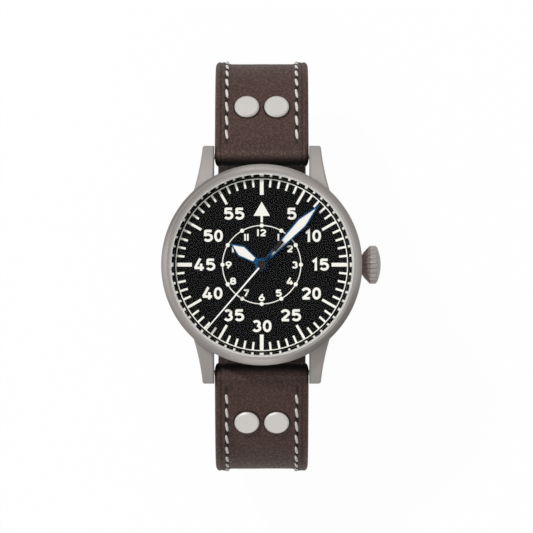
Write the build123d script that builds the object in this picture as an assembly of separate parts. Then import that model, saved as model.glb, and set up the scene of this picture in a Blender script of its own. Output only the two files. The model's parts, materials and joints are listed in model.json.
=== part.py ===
from build123d import *
from math import acos, atan2, cos, degrees, hypot, radians, sin, sqrt
import os

# A pilot watch on a riveted leather strap, buckled into its loop. Millimetres.
# +X points to 3 o'clock and the crown, +Y to 12 o'clock, +Z out of the dial.
# The origin is the centre of the case back's flat outer face.

# Case
case_radius = 20.2
case_foot_chamfer = 0.8
case_wall = 2.6
dial_seat_wall = 1.5
dial_seat_depth = 0.7
fit_clearance = 0.02
running_clearance = 0.04
cut_overrun = 1.0

# Case back and its gasket
back_edge_inset = 1.8
back_thickness = 1.3
back_edge_chamfer = 0.25
back_spigot_wall = 0.9
back_spigot_height = 0.9
back_step_inset = 3.8
back_step_depth = 0.15
back_notch_count = 6
back_notch_width = 3.0
back_notch_length = 2.2
back_notch_depth = 0.6
back_gasket_section = 0.4
back_gasket_inset = 0.25

# Lugs
lug_gap = 20.0
lug_reach = 4.8
lug_tip_width = 2.4
lug_root_width = 4.3
lug_waist_width = 3.1
lug_waist_inset = 5.0
lug_shoulder_inset = 9.7
lug_root_inset = 13.0
lug_hidden_width = 5.0
lug_corner_radius = 0.5
lug_tip_height = 3.4
lug_top_drop = 0.22
lug_top_inset = 11.0
lug_bow_inset = 4.5
lug_bow_height = 6.6
lug_tip_foot = 0.1
lug_foot_run = 1.0
lug_foot_inset = 6.8
lug_chamfer = 0.3
spring_bar_inset = 2.3
spring_bar_height = 1.9
spring_bar_radius = 0.9
spring_bar_shoulder_gap = 0.35
spring_bar_pin_radius = 0.5
spring_bar_pin_length = 1.5

# Bezel and crystal
bezel_overhang = 0.8
bezel_foot_chamfer = 0.2
bezel_side_height = 1.8
bezel_rise = 1.2
bezel_top_width = 1.2
bezel_bow_share = 0.42
bezel_lip_width = 0.5
bezel_lip_drop = 0.35
rehaut_slope_width = 0.45
rehaut_dial_gap = 0.7
crystal_edge_inset = 0.3
crystal_ledge_width = 0.15
crystal_edge_height = 1.0
crystal_chamfer = 0.25
crystal_dome = 0.75
crystal_inner_dome = 0.55
crystal_ledge_height = 1.7
crystal_gasket_wall = 0.25

# Crown, stem and tube
crown_radius = 4.0
crown_height = 5.0
crown_foot_radius = 1.85
crown_foot_gap = 0.4
crown_cone_length = 2.05
crown_rim_length = 1.55
crown_dome_height = 0.75
crown_edge_chamfer = 0.35
crown_flutes = 24
crown_flute_radius = 0.36
crown_flute_rise_share = 0.33
crown_pull = 1.2
crown_tube_radius = 1.3
crown_tube_bore_radius = 0.9
crown_tube_reach = 1.5
crown_skirt_depth = 2.9
stem_radius = 0.5
stem_square = 0.7
stem_screw_length = 1.4
stem_inner_x = 5.9
seal_length = 0.6

# Dial and hands
dial_edge_gap = 0.1
dial_thickness = 0.4
hand_rise = 0.6
hand_gap = 0.3
hour_hand_length = 8.0
hour_hand_wide_at = 5.15
hour_hand_width = 2.56
hour_hand_root_width = 0.9
hour_hub_radius = 1.38
minute_hand_tip_inset = 1.0
minute_hand_wide_at = 12.2
minute_hand_width = 2.33
minute_hand_root_width = 0.8
minute_hub_radius = 1.2
hand_frame = 0.27
hand_thickness = 0.16
lume_thickness = 0.1
hour_lume_start = 1.9
minute_lume_start = 3.0
seconds_hand_tip_inset = 0.6
seconds_hand_width = 0.39
seconds_hand_tip_width = 0.24
seconds_hub_radius = 0.9
seconds_tail_length = 6.6
seconds_tail_start = 3.9
seconds_tail_width = 0.9
seconds_hand_thickness = 0.12
hour_hand_angle = 146.2
minute_hand_angle = 46.2
seconds_hand_angle = -130.6

# Movement: the stack of its levels, from the case back up to the dial
rotor_clearance = 0.45
rotor_plate_thickness = 0.3
rotor_rim_height = 1.0
bridge_clearance = 0.1
bridge_thickness = 0.8
level_gap = 0.06
wheel_thickness = 0.15
barrel_height = 1.17
plate_thickness = 2.1
barrel_edge_margin = 0.85
plate_rim = 0.6
movement_ring_depth = 4.7
movement_ring_bore_gap = 0.05
third_wheel_rise = 0.55
motion_floor_share = 0.4

# Movement: the places of its wheels, from the centre of the dial
barrel_distance = 6.7
crown_wheel_distance = 7.6
second_distance = 5.6
balance_distance = 8.1
escape_angle = 260.0
balance_angle = 245.0

# Movement: teeth
addendum_share = 0.75
dedendum_share = 1.25
tooth_tip_share = 0.05
barrel_teeth = 60
barrel_module = 0.175
second_pinion_teeth = 10
second_teeth = 64
train_module = 0.11
third_pinion_teeth = 8
third_teeth = 60
seconds_pinion_teeth = 8
seconds_teeth = 70
seconds_module = 0.09
escape_pinion_teeth = 7
escape_teeth = 15
escape_radius = 1.55
escape_root_radius = 1.15
escape_hook_share = 0.3
cannon_teeth = 12
minute_teeth = 36
motion_module = 0.15
minute_pinion_teeth = 10
hour_teeth = 40
setting_teeth = 24
setting_angle = -20.0
ratchet_teeth = 40
crown_wheel_teeth = 28
winding_module = 0.2
winding_pinion_teeth = 16
winding_pinion_radius = 1.8
winding_pinion_x = 9.1
winding_pinion_length = 1.5
sliding_pinion_radius = 1.45
sliding_pinion_length = 1.6
rim_width = 0.45
hub_radius_share = 0.2
spoke_width = 0.35

# Movement: arbors, jewels, springs and screws
arbor_radius = 0.2
pivot_radius = 0.1
pivot_length = 0.3
jewel_radius = 0.55
jewel_thickness = 0.4
seconds_arbor_radius = 0.15
centre_tube_bore = 0.22
centre_tube_radius = 0.38
cannon_radius = 0.62
hour_pipe_radius = 0.95
minute_post_radius = 0.3
barrel_wall = 0.3
barrel_cap = 0.15
barrel_arbor_radius = 1.3
barrel_pivot_radius = 0.6
mainspring_turns = 7
mainspring_thickness = 0.16
mainspring_margin = 0.25
hairspring_turns = 8
hairspring_inner_radius = 0.55
hairspring_outer_radius = 2.4
hairspring_thickness = 0.06
hairspring_height = 0.14
balance_radius = 4.0
balance_rim = 0.45
balance_height = 0.3
roller_radius = 0.6
impulse_radius = 0.72
impulse_pin_radius = 0.08
pallet_distance = 2.0
fork_width = 0.24
fork_horn_reach = 0.2
fork_arm_reach = 1.1
fork_arm_spread = 1.25
pallet_bridge_reach = 1.9
pallet_bridge_width = 0.9
pallet_bridge_thickness = 0.18
screw_edge_distance = 1.2
screw_angles = [20, 88, 320, 150, 190, 290]
cock_foot_angle = 212.0
screw_boss_radius = 0.85
screw_radius = 0.4
screw_head_radius = 0.7
screw_head_height = 0.3
screw_slot_width = 0.16
screw_slot_depth = 0.12
screw_length = 1.6
balance_clearance = 0.5
bridge_gap = 0.3
bridge_divide_x_shares = (-0.11, -0.094, 0.195, 0.328, 0.39, 0.41)
bridge_divide_y_shares = (1.2, 0.344, 0.047, -0.094, -0.35, -1.2)
cock_width = 3.2
rotor_edge_gap = 0.5
rotor_rim_width = 2.2
rotor_hub_radius = 0.95
rotor_bearing_radius = 1.7

# Strap
strap_half_width = 9.8
strap_end_half_width = 9.6
strap_slope = 30.0
fold_radius = 2.1
fold_corner = 0.56
fold_corner_length = 1.4
flank_length = 11.8
bend_radius = 19.2
strap_thickness = 2.6
lining_thickness = 1.0
lining_start = 6.0
strap_layer_gap = 0.35
short_strap_end_y = 3.5
long_strap_tip_y = 26.0
long_strap_tip_length = 7.0
long_strap_tip_half_width = 3.0
long_strap_tip_bow_share = 0.8
rivet_radius = 2.6
rivet_flat_radius = 2.3
rivet_height = 0.55
rivet_bevel = 0.25
rivet_shank_radius = 1.0
rivet_shank_length = 1.4
rivet_spacing = 6.3
rivet_flank_distance = 11.0
hole_length = 3.2
hole_width = 2.2
hole_pitch = 6.5
hole_count = 7
holes_past_tongue = 2

# Buckle and keepers
buckle_bar_radius = 0.75
buckle_inner_gap = 0.4
buckle_arm_width = 1.5
buckle_ear_radius = 1.45
buckle_reach = 9.5
free_bar_width = 2.4
free_bar_thickness = 1.25
free_bar_bevel = 0.4
tongue_width = 1.8
tongue_thickness = 0.9
tongue_barrel_radius = 1.25
tongue_drop_y = 2.1
tongue_slot_gap = 0.25
tongue_overhang = 0.5
keeper_width = 5.0
keeper_thickness = 1.2
keeper_gap = 0.3
keeper_corner_radius = 1.4
fixed_keeper_y = 7.4
free_keeper_y = 13.3

# Radii that follow
case_bore_radius = case_radius - case_wall
dial_seat_radius = case_radius - dial_seat_wall
dial_radius = dial_seat_radius - dial_edge_gap
back_radius = case_radius - back_edge_inset
back_step_radius = back_radius - back_step_inset
bezel_radius = case_radius + bezel_overhang
bezel_flat_radius = bezel_radius - bezel_top_width
bezel_lip_radius = bezel_flat_radius - bezel_lip_width
crystal_radius = bezel_lip_radius - crystal_edge_inset
rehaut_high_radius = crystal_radius - crystal_ledge_width
rehaut_low_radius = rehaut_high_radius - rehaut_slope_width
minute_hand_length = dial_radius - minute_hand_tip_inset
seconds_hand_length = dial_radius - seconds_hand_tip_inset
movement_radius = barrel_distance + barrel_module * barrel_teeth / 2 + barrel_edge_margin
screw_circle_radius = movement_radius - screw_edge_distance
rotor_radius = movement_radius - rotor_edge_gap

# Levels and places that follow
rotor_low = back_thickness + rotor_clearance
rotor_high = rotor_low + rotor_rim_height
bridge_low = rotor_high + bridge_clearance
bridge_high = bridge_low + bridge_thickness
second_low = bridge_high + level_gap
second_high = second_low + wheel_thickness
seconds_low = second_high + level_gap
seconds_high = seconds_low + wheel_thickness
barrel_low = seconds_high + level_gap
barrel_high = barrel_low + barrel_height
plate_low = barrel_high + level_gap
plate_high = plate_low + plate_thickness
dial_high = plate_high + dial_thickness
bezel_low = plate_high + dial_seat_depth
third_low = seconds_high + third_wheel_rise
third_high = third_low + wheel_thickness
escape_high = plate_low - 3 * level_gap
escape_low = escape_high - wheel_thickness
hour_hand_low = dial_high + hand_rise
minute_hand_low = hour_hand_low + hand_thickness + hand_gap
seconds_hand_low = minute_hand_low + hand_thickness + hand_gap
crystal_low = bezel_low + crystal_ledge_height
crystal_high = crystal_low + crystal_edge_height
lug_inner_x = lug_gap / 2
lug_tip_y = case_radius + lug_reach
lug_waist_y = lug_tip_y - lug_waist_inset
lug_shoulder_y = lug_tip_y - lug_shoulder_inset
lug_root_y = lug_tip_y - lug_root_inset
lug_top_start_y = lug_tip_y - lug_top_inset
lug_bow_y = lug_tip_y - lug_bow_inset
lug_foot_start_y = lug_tip_y - lug_foot_inset
spring_bar_y = lug_tip_y - spring_bar_inset
motion_floor = plate_low + motion_floor_share * plate_thickness
motion_low = motion_floor + 2 * level_gap
motion_level = 2 * wheel_thickness
hour_wheel_low = motion_low + motion_level + level_gap
hour_wheel_high = hour_wheel_low + wheel_thickness
hairspring_low = bridge_high + 4 * level_gap
hairspring_high = hairspring_low + hairspring_height
balance_low = hairspring_high + 5 * level_gap
balance_high = balance_low + balance_height
pallet_bridge_low = balance_high + 2 * level_gap
slope_y = cos(radians(strap_slope))
slope_z = sin(radians(strap_slope))
fold_at = (spring_bar_y, spring_bar_height)
long_bend_radius = bend_radius + (strap_thickness + strap_layer_gap) / (1 + slope_y)


def polar(radius, angle, centre=(0, 0)):
    """The point at a radius and an angle in degrees about a centre."""
    return (centre[0] + radius * cos(radians(angle)), centre[1] + radius * sin(radians(angle)))


def reach(point, other=(0, 0)):
    """The distance between two points of the plan."""
    return hypot(point[0] - other[0], point[1] - other[1])


def bearing(start, end):
    """The direction in degrees from one point of the plan to another."""
    return degrees(atan2(end[1] - start[1], end[0] - start[0]))


def apex(side_a, side_b, opposite):
    """The angle in degrees between two sides of a triangle, from its three lengths."""
    return degrees(acos((side_a**2 + side_b**2 - opposite**2) / (2 * side_a * side_b)))


def pitch_distance(module, teeth, pinion_teeth):
    """The distance between the arbors of a wheel and its pinion."""
    return module * (teeth + pinion_teeth) / 2


centre = (0, 0)
crown_wheel_at = (crown_wheel_distance, 0)
ratchet_distance = pitch_distance(winding_module, ratchet_teeth, crown_wheel_teeth)
barrel_angle = apex(barrel_distance, crown_wheel_distance, ratchet_distance)
barrel_at = polar(barrel_distance, barrel_angle)
second_angle = barrel_angle + apex(
    barrel_distance, second_distance, pitch_distance(barrel_module, barrel_teeth, second_pinion_teeth)
)
second_at = polar(second_distance, second_angle)
third_distance = pitch_distance(train_module, third_teeth, seconds_pinion_teeth)
third_angle = second_angle + apex(
    second_distance, third_distance, pitch_distance(train_module, second_teeth, third_pinion_teeth)
)
third_at = polar(third_distance, third_angle)
escape_at = polar(pitch_distance(seconds_module, seconds_teeth, escape_pinion_teeth), escape_angle)
balance_at = polar(balance_distance, balance_angle)
lever_angle = bearing(escape_at, balance_at)
pallet_at = polar(pallet_distance, lever_angle, escape_at)
lever_length = reach(pallet_at, balance_at)
minute_distance = pitch_distance(motion_module, minute_teeth, cannon_teeth)
minute_angle = second_angle - apex(second_distance, minute_distance, minute_distance)
minute_at = polar(minute_distance, minute_angle)
hour_module = 2 * minute_distance / (hour_teeth + minute_pinion_teeth)
setting_at = polar(pitch_distance(motion_module, minute_teeth, setting_teeth), setting_angle, minute_at)


def disc(radius, low, high, place=centre, bore=0):
    """A round disc or washer between two heights, at a place of the plan."""
    face = Circle(radius) - Circle(bore) if bore else Circle(radius)
    return Location((place[0], place[1], low)) * extrude(face, high - low)


def turned(*outline, axis=Axis.Z):
    """A closed outline of points in the XZ plane, turned about an axis."""
    return revolve(make_face(Polyline(*[(a, 0, b) for a, b in outline], close=True)), axis)


def cap_rise(rim, rise, radius):
    """The height of a spherical cap above its rim's plane, at a radius."""
    ball = (rim**2 + rise**2) / (2 * rise)
    return sqrt(ball**2 - radius**2) - (ball - rise)


def mesh_phase(driver_phase, driver_teeth, direction, teeth):
    """The angle of a tooth that meshes with a driver whose tooth stands at its own phase."""
    behind = ((direction - driver_phase) * driver_teeth / 360) % 1
    return direction + 180 + (behind + 0.5) * 360 / teeth


second_pinion_phase = mesh_phase(0, barrel_teeth, bearing(barrel_at, second_at), second_pinion_teeth)
third_pinion_phase = mesh_phase(0, second_teeth, bearing(second_at, third_at), third_pinion_teeth)
seconds_pinion_phase = mesh_phase(0, third_teeth, bearing(third_at, centre), seconds_pinion_teeth)
escape_pinion_phase = mesh_phase(0, seconds_teeth, bearing(centre, escape_at), escape_pinion_teeth)
minute_phase = mesh_phase(0, cannon_teeth, bearing(centre, minute_at), minute_teeth)
friction_phase = mesh_phase(minute_phase, minute_teeth, bearing(minute_at, second_at), cannon_teeth)
setting_phase = mesh_phase(minute_phase, minute_teeth, bearing(minute_at, setting_at), setting_teeth)
hour_phase = mesh_phase(0, minute_pinion_teeth, bearing(minute_at, centre), hour_teeth)
crown_wheel_phase = mesh_phase(0, ratchet_teeth, bearing(barrel_at, crown_wheel_at), crown_wheel_teeth)


def toothed(teeth, module, low, high, place=centre, phase=0):
    """A toothed disc whose pointed teeth have a narrow flat tip."""
    tip = module * (teeth / 2 + addendum_share)
    root = module * (teeth / 2 - dedendum_share)
    step = 360 / teeth
    corners = []
    for tooth in range(teeth):
        angle = phase + tooth * step
        corners += [
            polar(root, angle - step / 2),
            polar(tip, angle - step * tooth_tip_share),
            polar(tip, angle + step * tooth_tip_share),
        ]
    face = make_face(Polyline(*corners, close=True))
    return Location((place[0], place[1], low)) * extrude(face, high - low)


def crossings(radius, low, high, place, spokes=4, hub=None):
    """The windows that leave a wheel its rim, hub and spokes."""
    outer = radius - rim_width
    inner = hub or radius * hub_radius_share + arbor_radius
    ring = Circle(outer) - Circle(inner)
    for spoke in range(spokes):
        ring -= Rot(0, 0, spoke * 360 / spokes) * Pos(outer / 2, 0) * Rectangle(outer, spoke_width)
    return Location((place[0], place[1], low)) * extrude(ring, high - low)


def pinioned_wheel(place, wheel, pinion, arbor_low, arbor_high, windows=True):
    """A wheel and its pinion on one arbor; both are (teeth, module, low, high, phase)."""
    teeth, module, low, high, phase = wheel
    root = module * (teeth / 2 - dedendum_share)
    body = toothed(teeth, module, low, high, place, phase)
    if windows:
        body -= crossings(root, low, high, place)
    body += toothed(*pinion[:4], place, pinion[4])
    body += disc(arbor_radius, arbor_low + level_gap, arbor_high - level_gap, place)
    body += disc(pivot_radius, arbor_low - pivot_length, arbor_high + pivot_length, place)
    return body


# The case


def make_lug():
    """The lug at 12 and 3 o'clock: a plan shape and a side shape that meet, with bevelled top edges."""
    tip_x = lug_inner_x + lug_tip_width
    plan = make_face(
        Polyline(
            (lug_inner_x + lug_hidden_width, lug_root_y),
            (lug_inner_x, lug_root_y),
            (lug_inner_x, lug_tip_y),
            (tip_x, lug_tip_y),
        )
        + ThreePointArc(
            (tip_x, lug_tip_y),
            (lug_inner_x + lug_waist_width, lug_waist_y),
            (lug_inner_x + lug_root_width, lug_shoulder_y),
        )
        + Line(
            (lug_inner_x + lug_root_width, lug_shoulder_y),
            (lug_inner_x + lug_hidden_width, lug_root_y),
        )
    )
    top = bezel_low - lug_top_drop
    side = Plane.YZ * make_face(
        Line((lug_root_y, top), (lug_top_start_y, top))
        + ThreePointArc((lug_top_start_y, top), (lug_bow_y, lug_bow_height), (lug_tip_y, lug_tip_height))
        + Polyline(
            (lug_tip_y, lug_tip_height),
            (lug_tip_y, lug_tip_foot + lug_foot_run),
            (lug_tip_y - lug_foot_run, lug_tip_foot),
            (lug_foot_start_y, back_thickness),
            (lug_root_y, back_thickness),
            (lug_root_y, top),
        )
    )
    width = lug_hidden_width + 2 * cut_overrun
    lug = extrude(plan, bezel_low) & Pos(lug_inner_x - cut_overrun) * extrude(side, width)
    corner = lug.edges().filter_by(Axis.Z).sort_by(Axis.Y)[-2:].sort_by(Axis.X)[-1]
    lug = fillet(corner, lug_corner_radius)
    crest = [
        edge
        for edge in lug.edges()
        if edge.center().Z > lug_tip_height - lug_foot_run and edge.center().Y > lug_shoulder_y
        and edge.bounding_box().max.Z > lug_tip_height - lug_chamfer / 10
        and edge.bounding_box().size.Z < lug_bow_height
        and not (edge.bounding_box().size.Y < lug_chamfer and edge.bounding_box().size.Z > lug_chamfer)
    ]
    return chamfer(crest, lug_chamfer)


def make_mid_case():
    """The case band with its four lugs, dial seat, back gasket groove and drilled lugs."""
    band = turned(
        (case_bore_radius, back_thickness),
        (case_radius - case_foot_chamfer, back_thickness),
        (case_radius, back_thickness + case_foot_chamfer),
        (case_radius, bezel_low),
        (case_bore_radius, bezel_low),
    )
    lug = make_lug()
    lugs = [lug, mirror(lug, Plane.YZ), mirror(lug, Plane.XZ), mirror(mirror(lug, Plane.YZ), Plane.XZ)]
    case = band + lugs
    case -= disc(case_bore_radius, 0, bezel_low + cut_overrun)
    case -= disc(dial_seat_radius, plate_high, bezel_low + cut_overrun)
    groove = back_radius - back_gasket_inset
    case -= disc(
        groove + fit_clearance,
        back_thickness - cut_overrun,
        back_thickness + back_gasket_section,
        bore=groove - back_gasket_section - fit_clearance,
    )
    for side in (-1, 1):
        drill = Location((0, side * spring_bar_y, spring_bar_height), (0, 90, 0)) * Cylinder(
            spring_bar_pin_radius + fit_clearance, lug_gap + 2 * spring_bar_pin_length
        )
        case -= drill
    tube = Location((case_radius, 0, crown_height), (0, 90, 0)) * Cylinder(
        crown_tube_radius + fit_clearance, 2 * case_radius - case_bore_radius
    )
    return case - tube


def make_spring_bar(side):
    """A spring bar: its tube between the lugs, with a sprung pin in each lug's hole."""
    length = lug_gap - 2 * spring_bar_shoulder_gap
    tube = Cylinder(spring_bar_radius, length)
    pins = Cylinder(spring_bar_pin_radius, lug_gap + 2 * spring_bar_pin_length - 2 * fit_clearance)
    return Location((0, side * spring_bar_y, spring_bar_height), (0, 90, 0)) * (tube + pins)


def make_bezel():
    """The bezel: a bowed matte top, a polished lip, the crystal's seat and the sloping rehaut."""
    side_top = bezel_low + bezel_side_height
    top = side_top + bezel_rise
    seat = crystal_radius + crystal_gasket_wall
    bow = (
        (bezel_radius + bezel_flat_radius) / 2 + bezel_bow_share * (bezel_radius - bezel_flat_radius) / 2,
        (side_top + top) / 2 + bezel_bow_share * bezel_rise / 2,
    )
    outline = Polyline(
        (bezel_flat_radius, 0, top),
        (bezel_lip_radius, 0, top - bezel_lip_drop),
        (seat, 0, top - bezel_lip_drop),
        (seat, 0, crystal_low),
        (rehaut_high_radius, 0, crystal_low),
        (rehaut_low_radius, 0, dial_high + rehaut_dial_gap),
        (dial_radius, 0, bezel_low),
        (bezel_radius - bezel_foot_chamfer, 0, bezel_low),
        (bezel_radius, 0, bezel_low + bezel_foot_chamfer),
        (bezel_radius, 0, side_top),
    ) + ThreePointArc((bezel_radius, 0, side_top), (bow[0], 0, bow[1]), (bezel_flat_radius, 0, top))
    return revolve(make_face(outline), Axis.Z)


def make_crystal():
    """The domed crystal, hollow below, with a bevelled edge."""
    rim = crystal_radius - crystal_chamfer
    inner = rehaut_high_radius
    outline = (
        Polyline(
            (0, 0, crystal_high + crystal_dome),
            (0, 0, crystal_low + crystal_inner_dome),
        )
        + ThreePointArc(
            (0, 0, crystal_low + crystal_inner_dome),
            (inner / 2, 0, crystal_low + cap_rise(inner, crystal_inner_dome, inner / 2)),
            (inner, 0, crystal_low),
        )
        + Polyline(
            (inner, 0, crystal_low),
            (crystal_radius, 0, crystal_low),
            (crystal_radius, 0, crystal_high - crystal_chamfer),
            (rim, 0, crystal_high),
        )
        + ThreePointArc(
            (rim, 0, crystal_high),
            (rim / 2, 0, crystal_high + cap_rise(rim, crystal_dome, rim / 2)),
            (0, 0, crystal_high + crystal_dome),
        )
    )
    return revolve(make_face(outline), Axis.Z)


def make_case_back():
    """The screwed case back: a stepped flat disc with wrench notches and an inner spigot."""
    spigot = case_bore_radius - fit_clearance
    back = turned(
        (0, 0),
        (back_step_radius, 0),
        (back_step_radius + back_step_depth, back_step_depth),
        (back_radius - back_edge_chamfer, back_step_depth),
        (back_radius, back_step_depth + back_edge_chamfer),
        (back_radius, back_thickness),
        (spigot, back_thickness),
        (spigot, back_thickness + back_spigot_height),
        (spigot - back_spigot_wall, back_thickness + back_spigot_height),
        (spigot - back_spigot_wall, back_thickness),
        (0, back_thickness),
    )
    notch = Pos(back_radius, 0, back_step_depth) * Box(
        2 * back_notch_length, back_notch_width, 2 * back_notch_depth
    )
    return back - [Rot(0, 0, (k + 0.5) * 360 / back_notch_count) * notch for k in range(back_notch_count)]


def make_crown():
    """The conical crown: a fluted cone and rim, a domed end, a skirt over the tube and a stem hole."""
    foot = case_radius + crown_foot_gap
    rim = foot + crown_cone_length
    end = rim + crown_rim_length
    profile = [
        (foot, 0),
        (foot, crown_foot_radius),
        (rim, crown_radius),
        (end - crown_edge_chamfer, crown_radius),
        (end, crown_radius - crown_edge_chamfer),
    ]
    flat = crown_radius - crown_edge_chamfer
    dome = ThreePointArc(
        (end, 0, flat),
        (end + cap_rise(flat, crown_dome_height, flat / 2), 0, flat / 2),
        (end + crown_dome_height, 0, 0),
    )
    sides = Polyline(*[(a, 0, b) for a, b in profile])
    axis_line = Line((end + crown_dome_height, 0, 0), (foot, 0, 0))
    crown = revolve(make_face(sides + dome + axis_line), Axis.X)
    slope = degrees(atan2(crown_radius - crown_foot_radius, crown_cone_length))
    length = hypot(crown_radius - crown_foot_radius, crown_cone_length)
    sink = crown_radius + crown_flute_rise_share * crown_flute_radius
    past = 2 * crown_flute_radius
    rim_flute = Pos(rim - past, 0, sink) * Rot(0, 90, 0) * extrude(
        Circle(crown_flute_radius), crown_rim_length + 2 * past
    )
    cone_flute = (
        Pos(rim, 0, sink) * Rot(0, 90 - slope, 0) * Pos(0, 0, -length - past)
        * extrude(Circle(crown_flute_radius), length + 2 * past)
    )
    for k in range(crown_flutes):
        crown -= Rot(k * 360 / crown_flutes, 0, 0) * (rim_flute + cone_flute)
    skirt = Pos(foot, 0, 0) * Rot(0, 90, 0) * Cylinder(
        crown_tube_radius + running_clearance, 2 * crown_skirt_depth
    )
    stem_hole = Pos(foot + crown_skirt_depth, 0, 0) * Rot(0, 90, 0) * Cylinder(
        stem_radius + fit_clearance, 2 * (stem_screw_length + fit_clearance)
    )
    return Pos(0, 0, crown_height) * (crown - skirt - stem_hole)


def make_crown_tube():
    """The tube that is pressed through the case wall and carries the crown's seal."""
    start = case_bore_radius
    end = case_radius + crown_tube_reach
    tube = Pos(start, 0, crown_height) * Rot(0, 90, 0) * extrude(
        Circle(crown_tube_radius) - Circle(crown_tube_bore_radius), end - start
    )
    return tube


def make_seal():
    """The ring on the stem that seals the crown's tube."""
    start = case_radius + crown_tube_reach - crown_pull - 2 * seal_length
    return Pos(start, 0, crown_height) * Rot(0, 90, 0) * extrude(
        Circle(crown_tube_bore_radius - running_clearance) - Circle(stem_radius + fit_clearance), seal_length
    )


def make_stem():
    """The winding stem: round under the crown, square where the sliding pinion rides."""
    end = case_radius + crown_foot_gap + crown_skirt_depth + stem_screw_length
    step = winding_pinion_x - level_gap
    rod = Rot(0, 90, 0) * extrude(Circle(stem_radius), end - step)
    square = Rot(0, 90, 0) * extrude(Rectangle(stem_square, stem_square), step - stem_inner_x)
    return Pos(step, 0, crown_height) * rod + Pos(stem_inner_x, 0, crown_height) * square


def make_pinion_on_stem(start, length, tip_radius, bore):
    """A straight-toothed pinion that turns about the stem's axis, with a hole of a given face."""
    module = tip_radius / (winding_pinion_teeth / 2 + addendum_share)
    pinion = toothed(winding_pinion_teeth, module, 0, length)
    pinion -= extrude(bore, length)
    return Pos(start, 0, crown_height) * Rot(0, 90, 0) * pinion


def make_winding_pinion():
    bore = Circle(stem_radius + running_clearance)
    return make_pinion_on_stem(winding_pinion_x, winding_pinion_length, winding_pinion_radius, bore)


def make_sliding_pinion():
    start = winding_pinion_x - level_gap - sliding_pinion_length
    hole = stem_square + 2 * running_clearance
    return make_pinion_on_stem(start, sliding_pinion_length, sliding_pinion_radius, Rectangle(hole, hole))


# The dial and hands


def make_dial():
    return disc(dial_radius, plate_high, dial_high, bore=hour_pipe_radius + 2 * running_clearance)


def hand_outline(root_x, root_half, wide_x, wide_half, tip_x, inset, start_x):
    """The corners of a pointed rhombic hand, or of its window when there is an inset."""
    rise = (wide_half - root_half) / (wide_x - root_x)
    fall = wide_half / (tip_x - wide_x)
    rise_inset = inset * sqrt(1 + rise**2)
    fall_inset = inset * sqrt(1 + fall**2)
    start_half = root_half + rise * (start_x - root_x) - rise_inset
    corner_x = wide_x + (rise_inset - fall_inset) / (rise + fall)
    corner_half = wide_half + rise * (corner_x - wide_x) - rise_inset
    end_x = tip_x - fall_inset / fall
    lower = [(start_x, -start_half), (corner_x, -corner_half)]
    upper = [(corner_x, corner_half), (start_x, start_half)]
    return lower + [(end_x, 0)] + upper


def make_hand(length, wide_at, width, root_width, hub, bore, lume_start, low, angle):
    """A rhombic hand with a hub and an open window, and the lume that fills the window."""
    sizes = (hub / 2, root_width / 2, wide_at, width / 2, length)
    blade = make_face(Polyline(*hand_outline(*sizes, 0, hub / 2), close=True))
    window = make_face(Polyline(*hand_outline(*sizes, hand_frame, lume_start), close=True))
    frame = extrude(blade + Circle(hub) - window - Circle(bore), hand_thickness)
    lume = extrude(window, lume_thickness)
    place = Pos(0, 0, low) * Rot(0, 0, angle)
    return place * frame, place * lume


def make_hour_hand():
    return make_hand(
        hour_hand_length, hour_hand_wide_at, hour_hand_width, hour_hand_root_width, hour_hub_radius,
        hour_pipe_radius + fit_clearance, hour_lume_start, hour_hand_low, hour_hand_angle,
    )


def make_minute_hand():
    return make_hand(
        minute_hand_length, minute_hand_wide_at, minute_hand_width, minute_hand_root_width, minute_hub_radius,
        cannon_radius + fit_clearance, minute_lume_start, minute_hand_low, minute_hand_angle,
    )


def make_seconds_hand():
    """The slim seconds hand with its hub, pipe and counterweight."""
    half = seconds_hand_width / 2
    tip = seconds_hand_tip_width / 2
    blade = make_face(
        Polyline((0, -half), (seconds_hand_length, -tip), (seconds_hand_length, tip), (0, half), close=True)
    )
    stem = Pos(-seconds_tail_start / 2, 0) * Rectangle(seconds_tail_start, seconds_hand_tip_width)
    block_length = seconds_tail_length - seconds_tail_start
    block = Pos(-seconds_tail_start - block_length / 2, 0) * Rectangle(block_length, seconds_tail_width)
    face = blade + stem + block + Circle(seconds_hub_radius) - Circle(seconds_arbor_radius + fit_clearance)
    hand = extrude(face, seconds_hand_thickness)
    pipe_low = minute_hand_low + hand_thickness + level_gap - seconds_hand_low
    hand += disc(2 * seconds_arbor_radius, pipe_low, 0, bore=seconds_arbor_radius + fit_clearance)
    return Pos(0, 0, seconds_hand_low) * Rot(0, 0, seconds_hand_angle) * hand


# The movement


def barrel_side(shift):
    """The part of the plan on the barrel's side of the line between the two bridges."""
    shares = zip(bridge_divide_x_shares, bridge_divide_y_shares)
    line = [(x * movement_radius - shift, y * movement_radius) for x, y in shares]
    corner = 2 * movement_radius
    return make_face(Polyline(*line, (corner, -corner), (corner, corner), close=True))


def cock_plan(grow=0):
    """The balance cock seen from above: a slot from the balance's pivot to its foot at the rim."""
    foot = polar(screw_circle_radius, cock_foot_angle)
    length = reach(foot, balance_at)
    middle = ((foot[0] + balance_at[0]) / 2, (foot[1] + balance_at[1]) / 2)
    width = cock_width + 2 * grow
    return Pos(*middle) * Rot(0, 0, bearing(balance_at, foot)) * SlotOverall(length + width, width)


def pierce_for_screws(bridge, angles):
    """Counterbored holes through a bridge for its screws."""
    for angle in angles:
        place = polar(screw_circle_radius, angle)
        start = bridge_low - cut_overrun
        bridge -= disc(screw_radius + fit_clearance, start, bridge_high + cut_overrun, place)
        bridge -= disc(screw_head_radius + running_clearance, start, bridge_low + screw_head_height, place)
    return bridge


def jewel_seats(bridge, places):
    """Blind seats for the jewels in a bridge's inner face."""
    for place in places:
        bridge -= disc(jewel_radius, bridge_high - jewel_thickness, bridge_high + cut_overrun, place)
    return bridge


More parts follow.
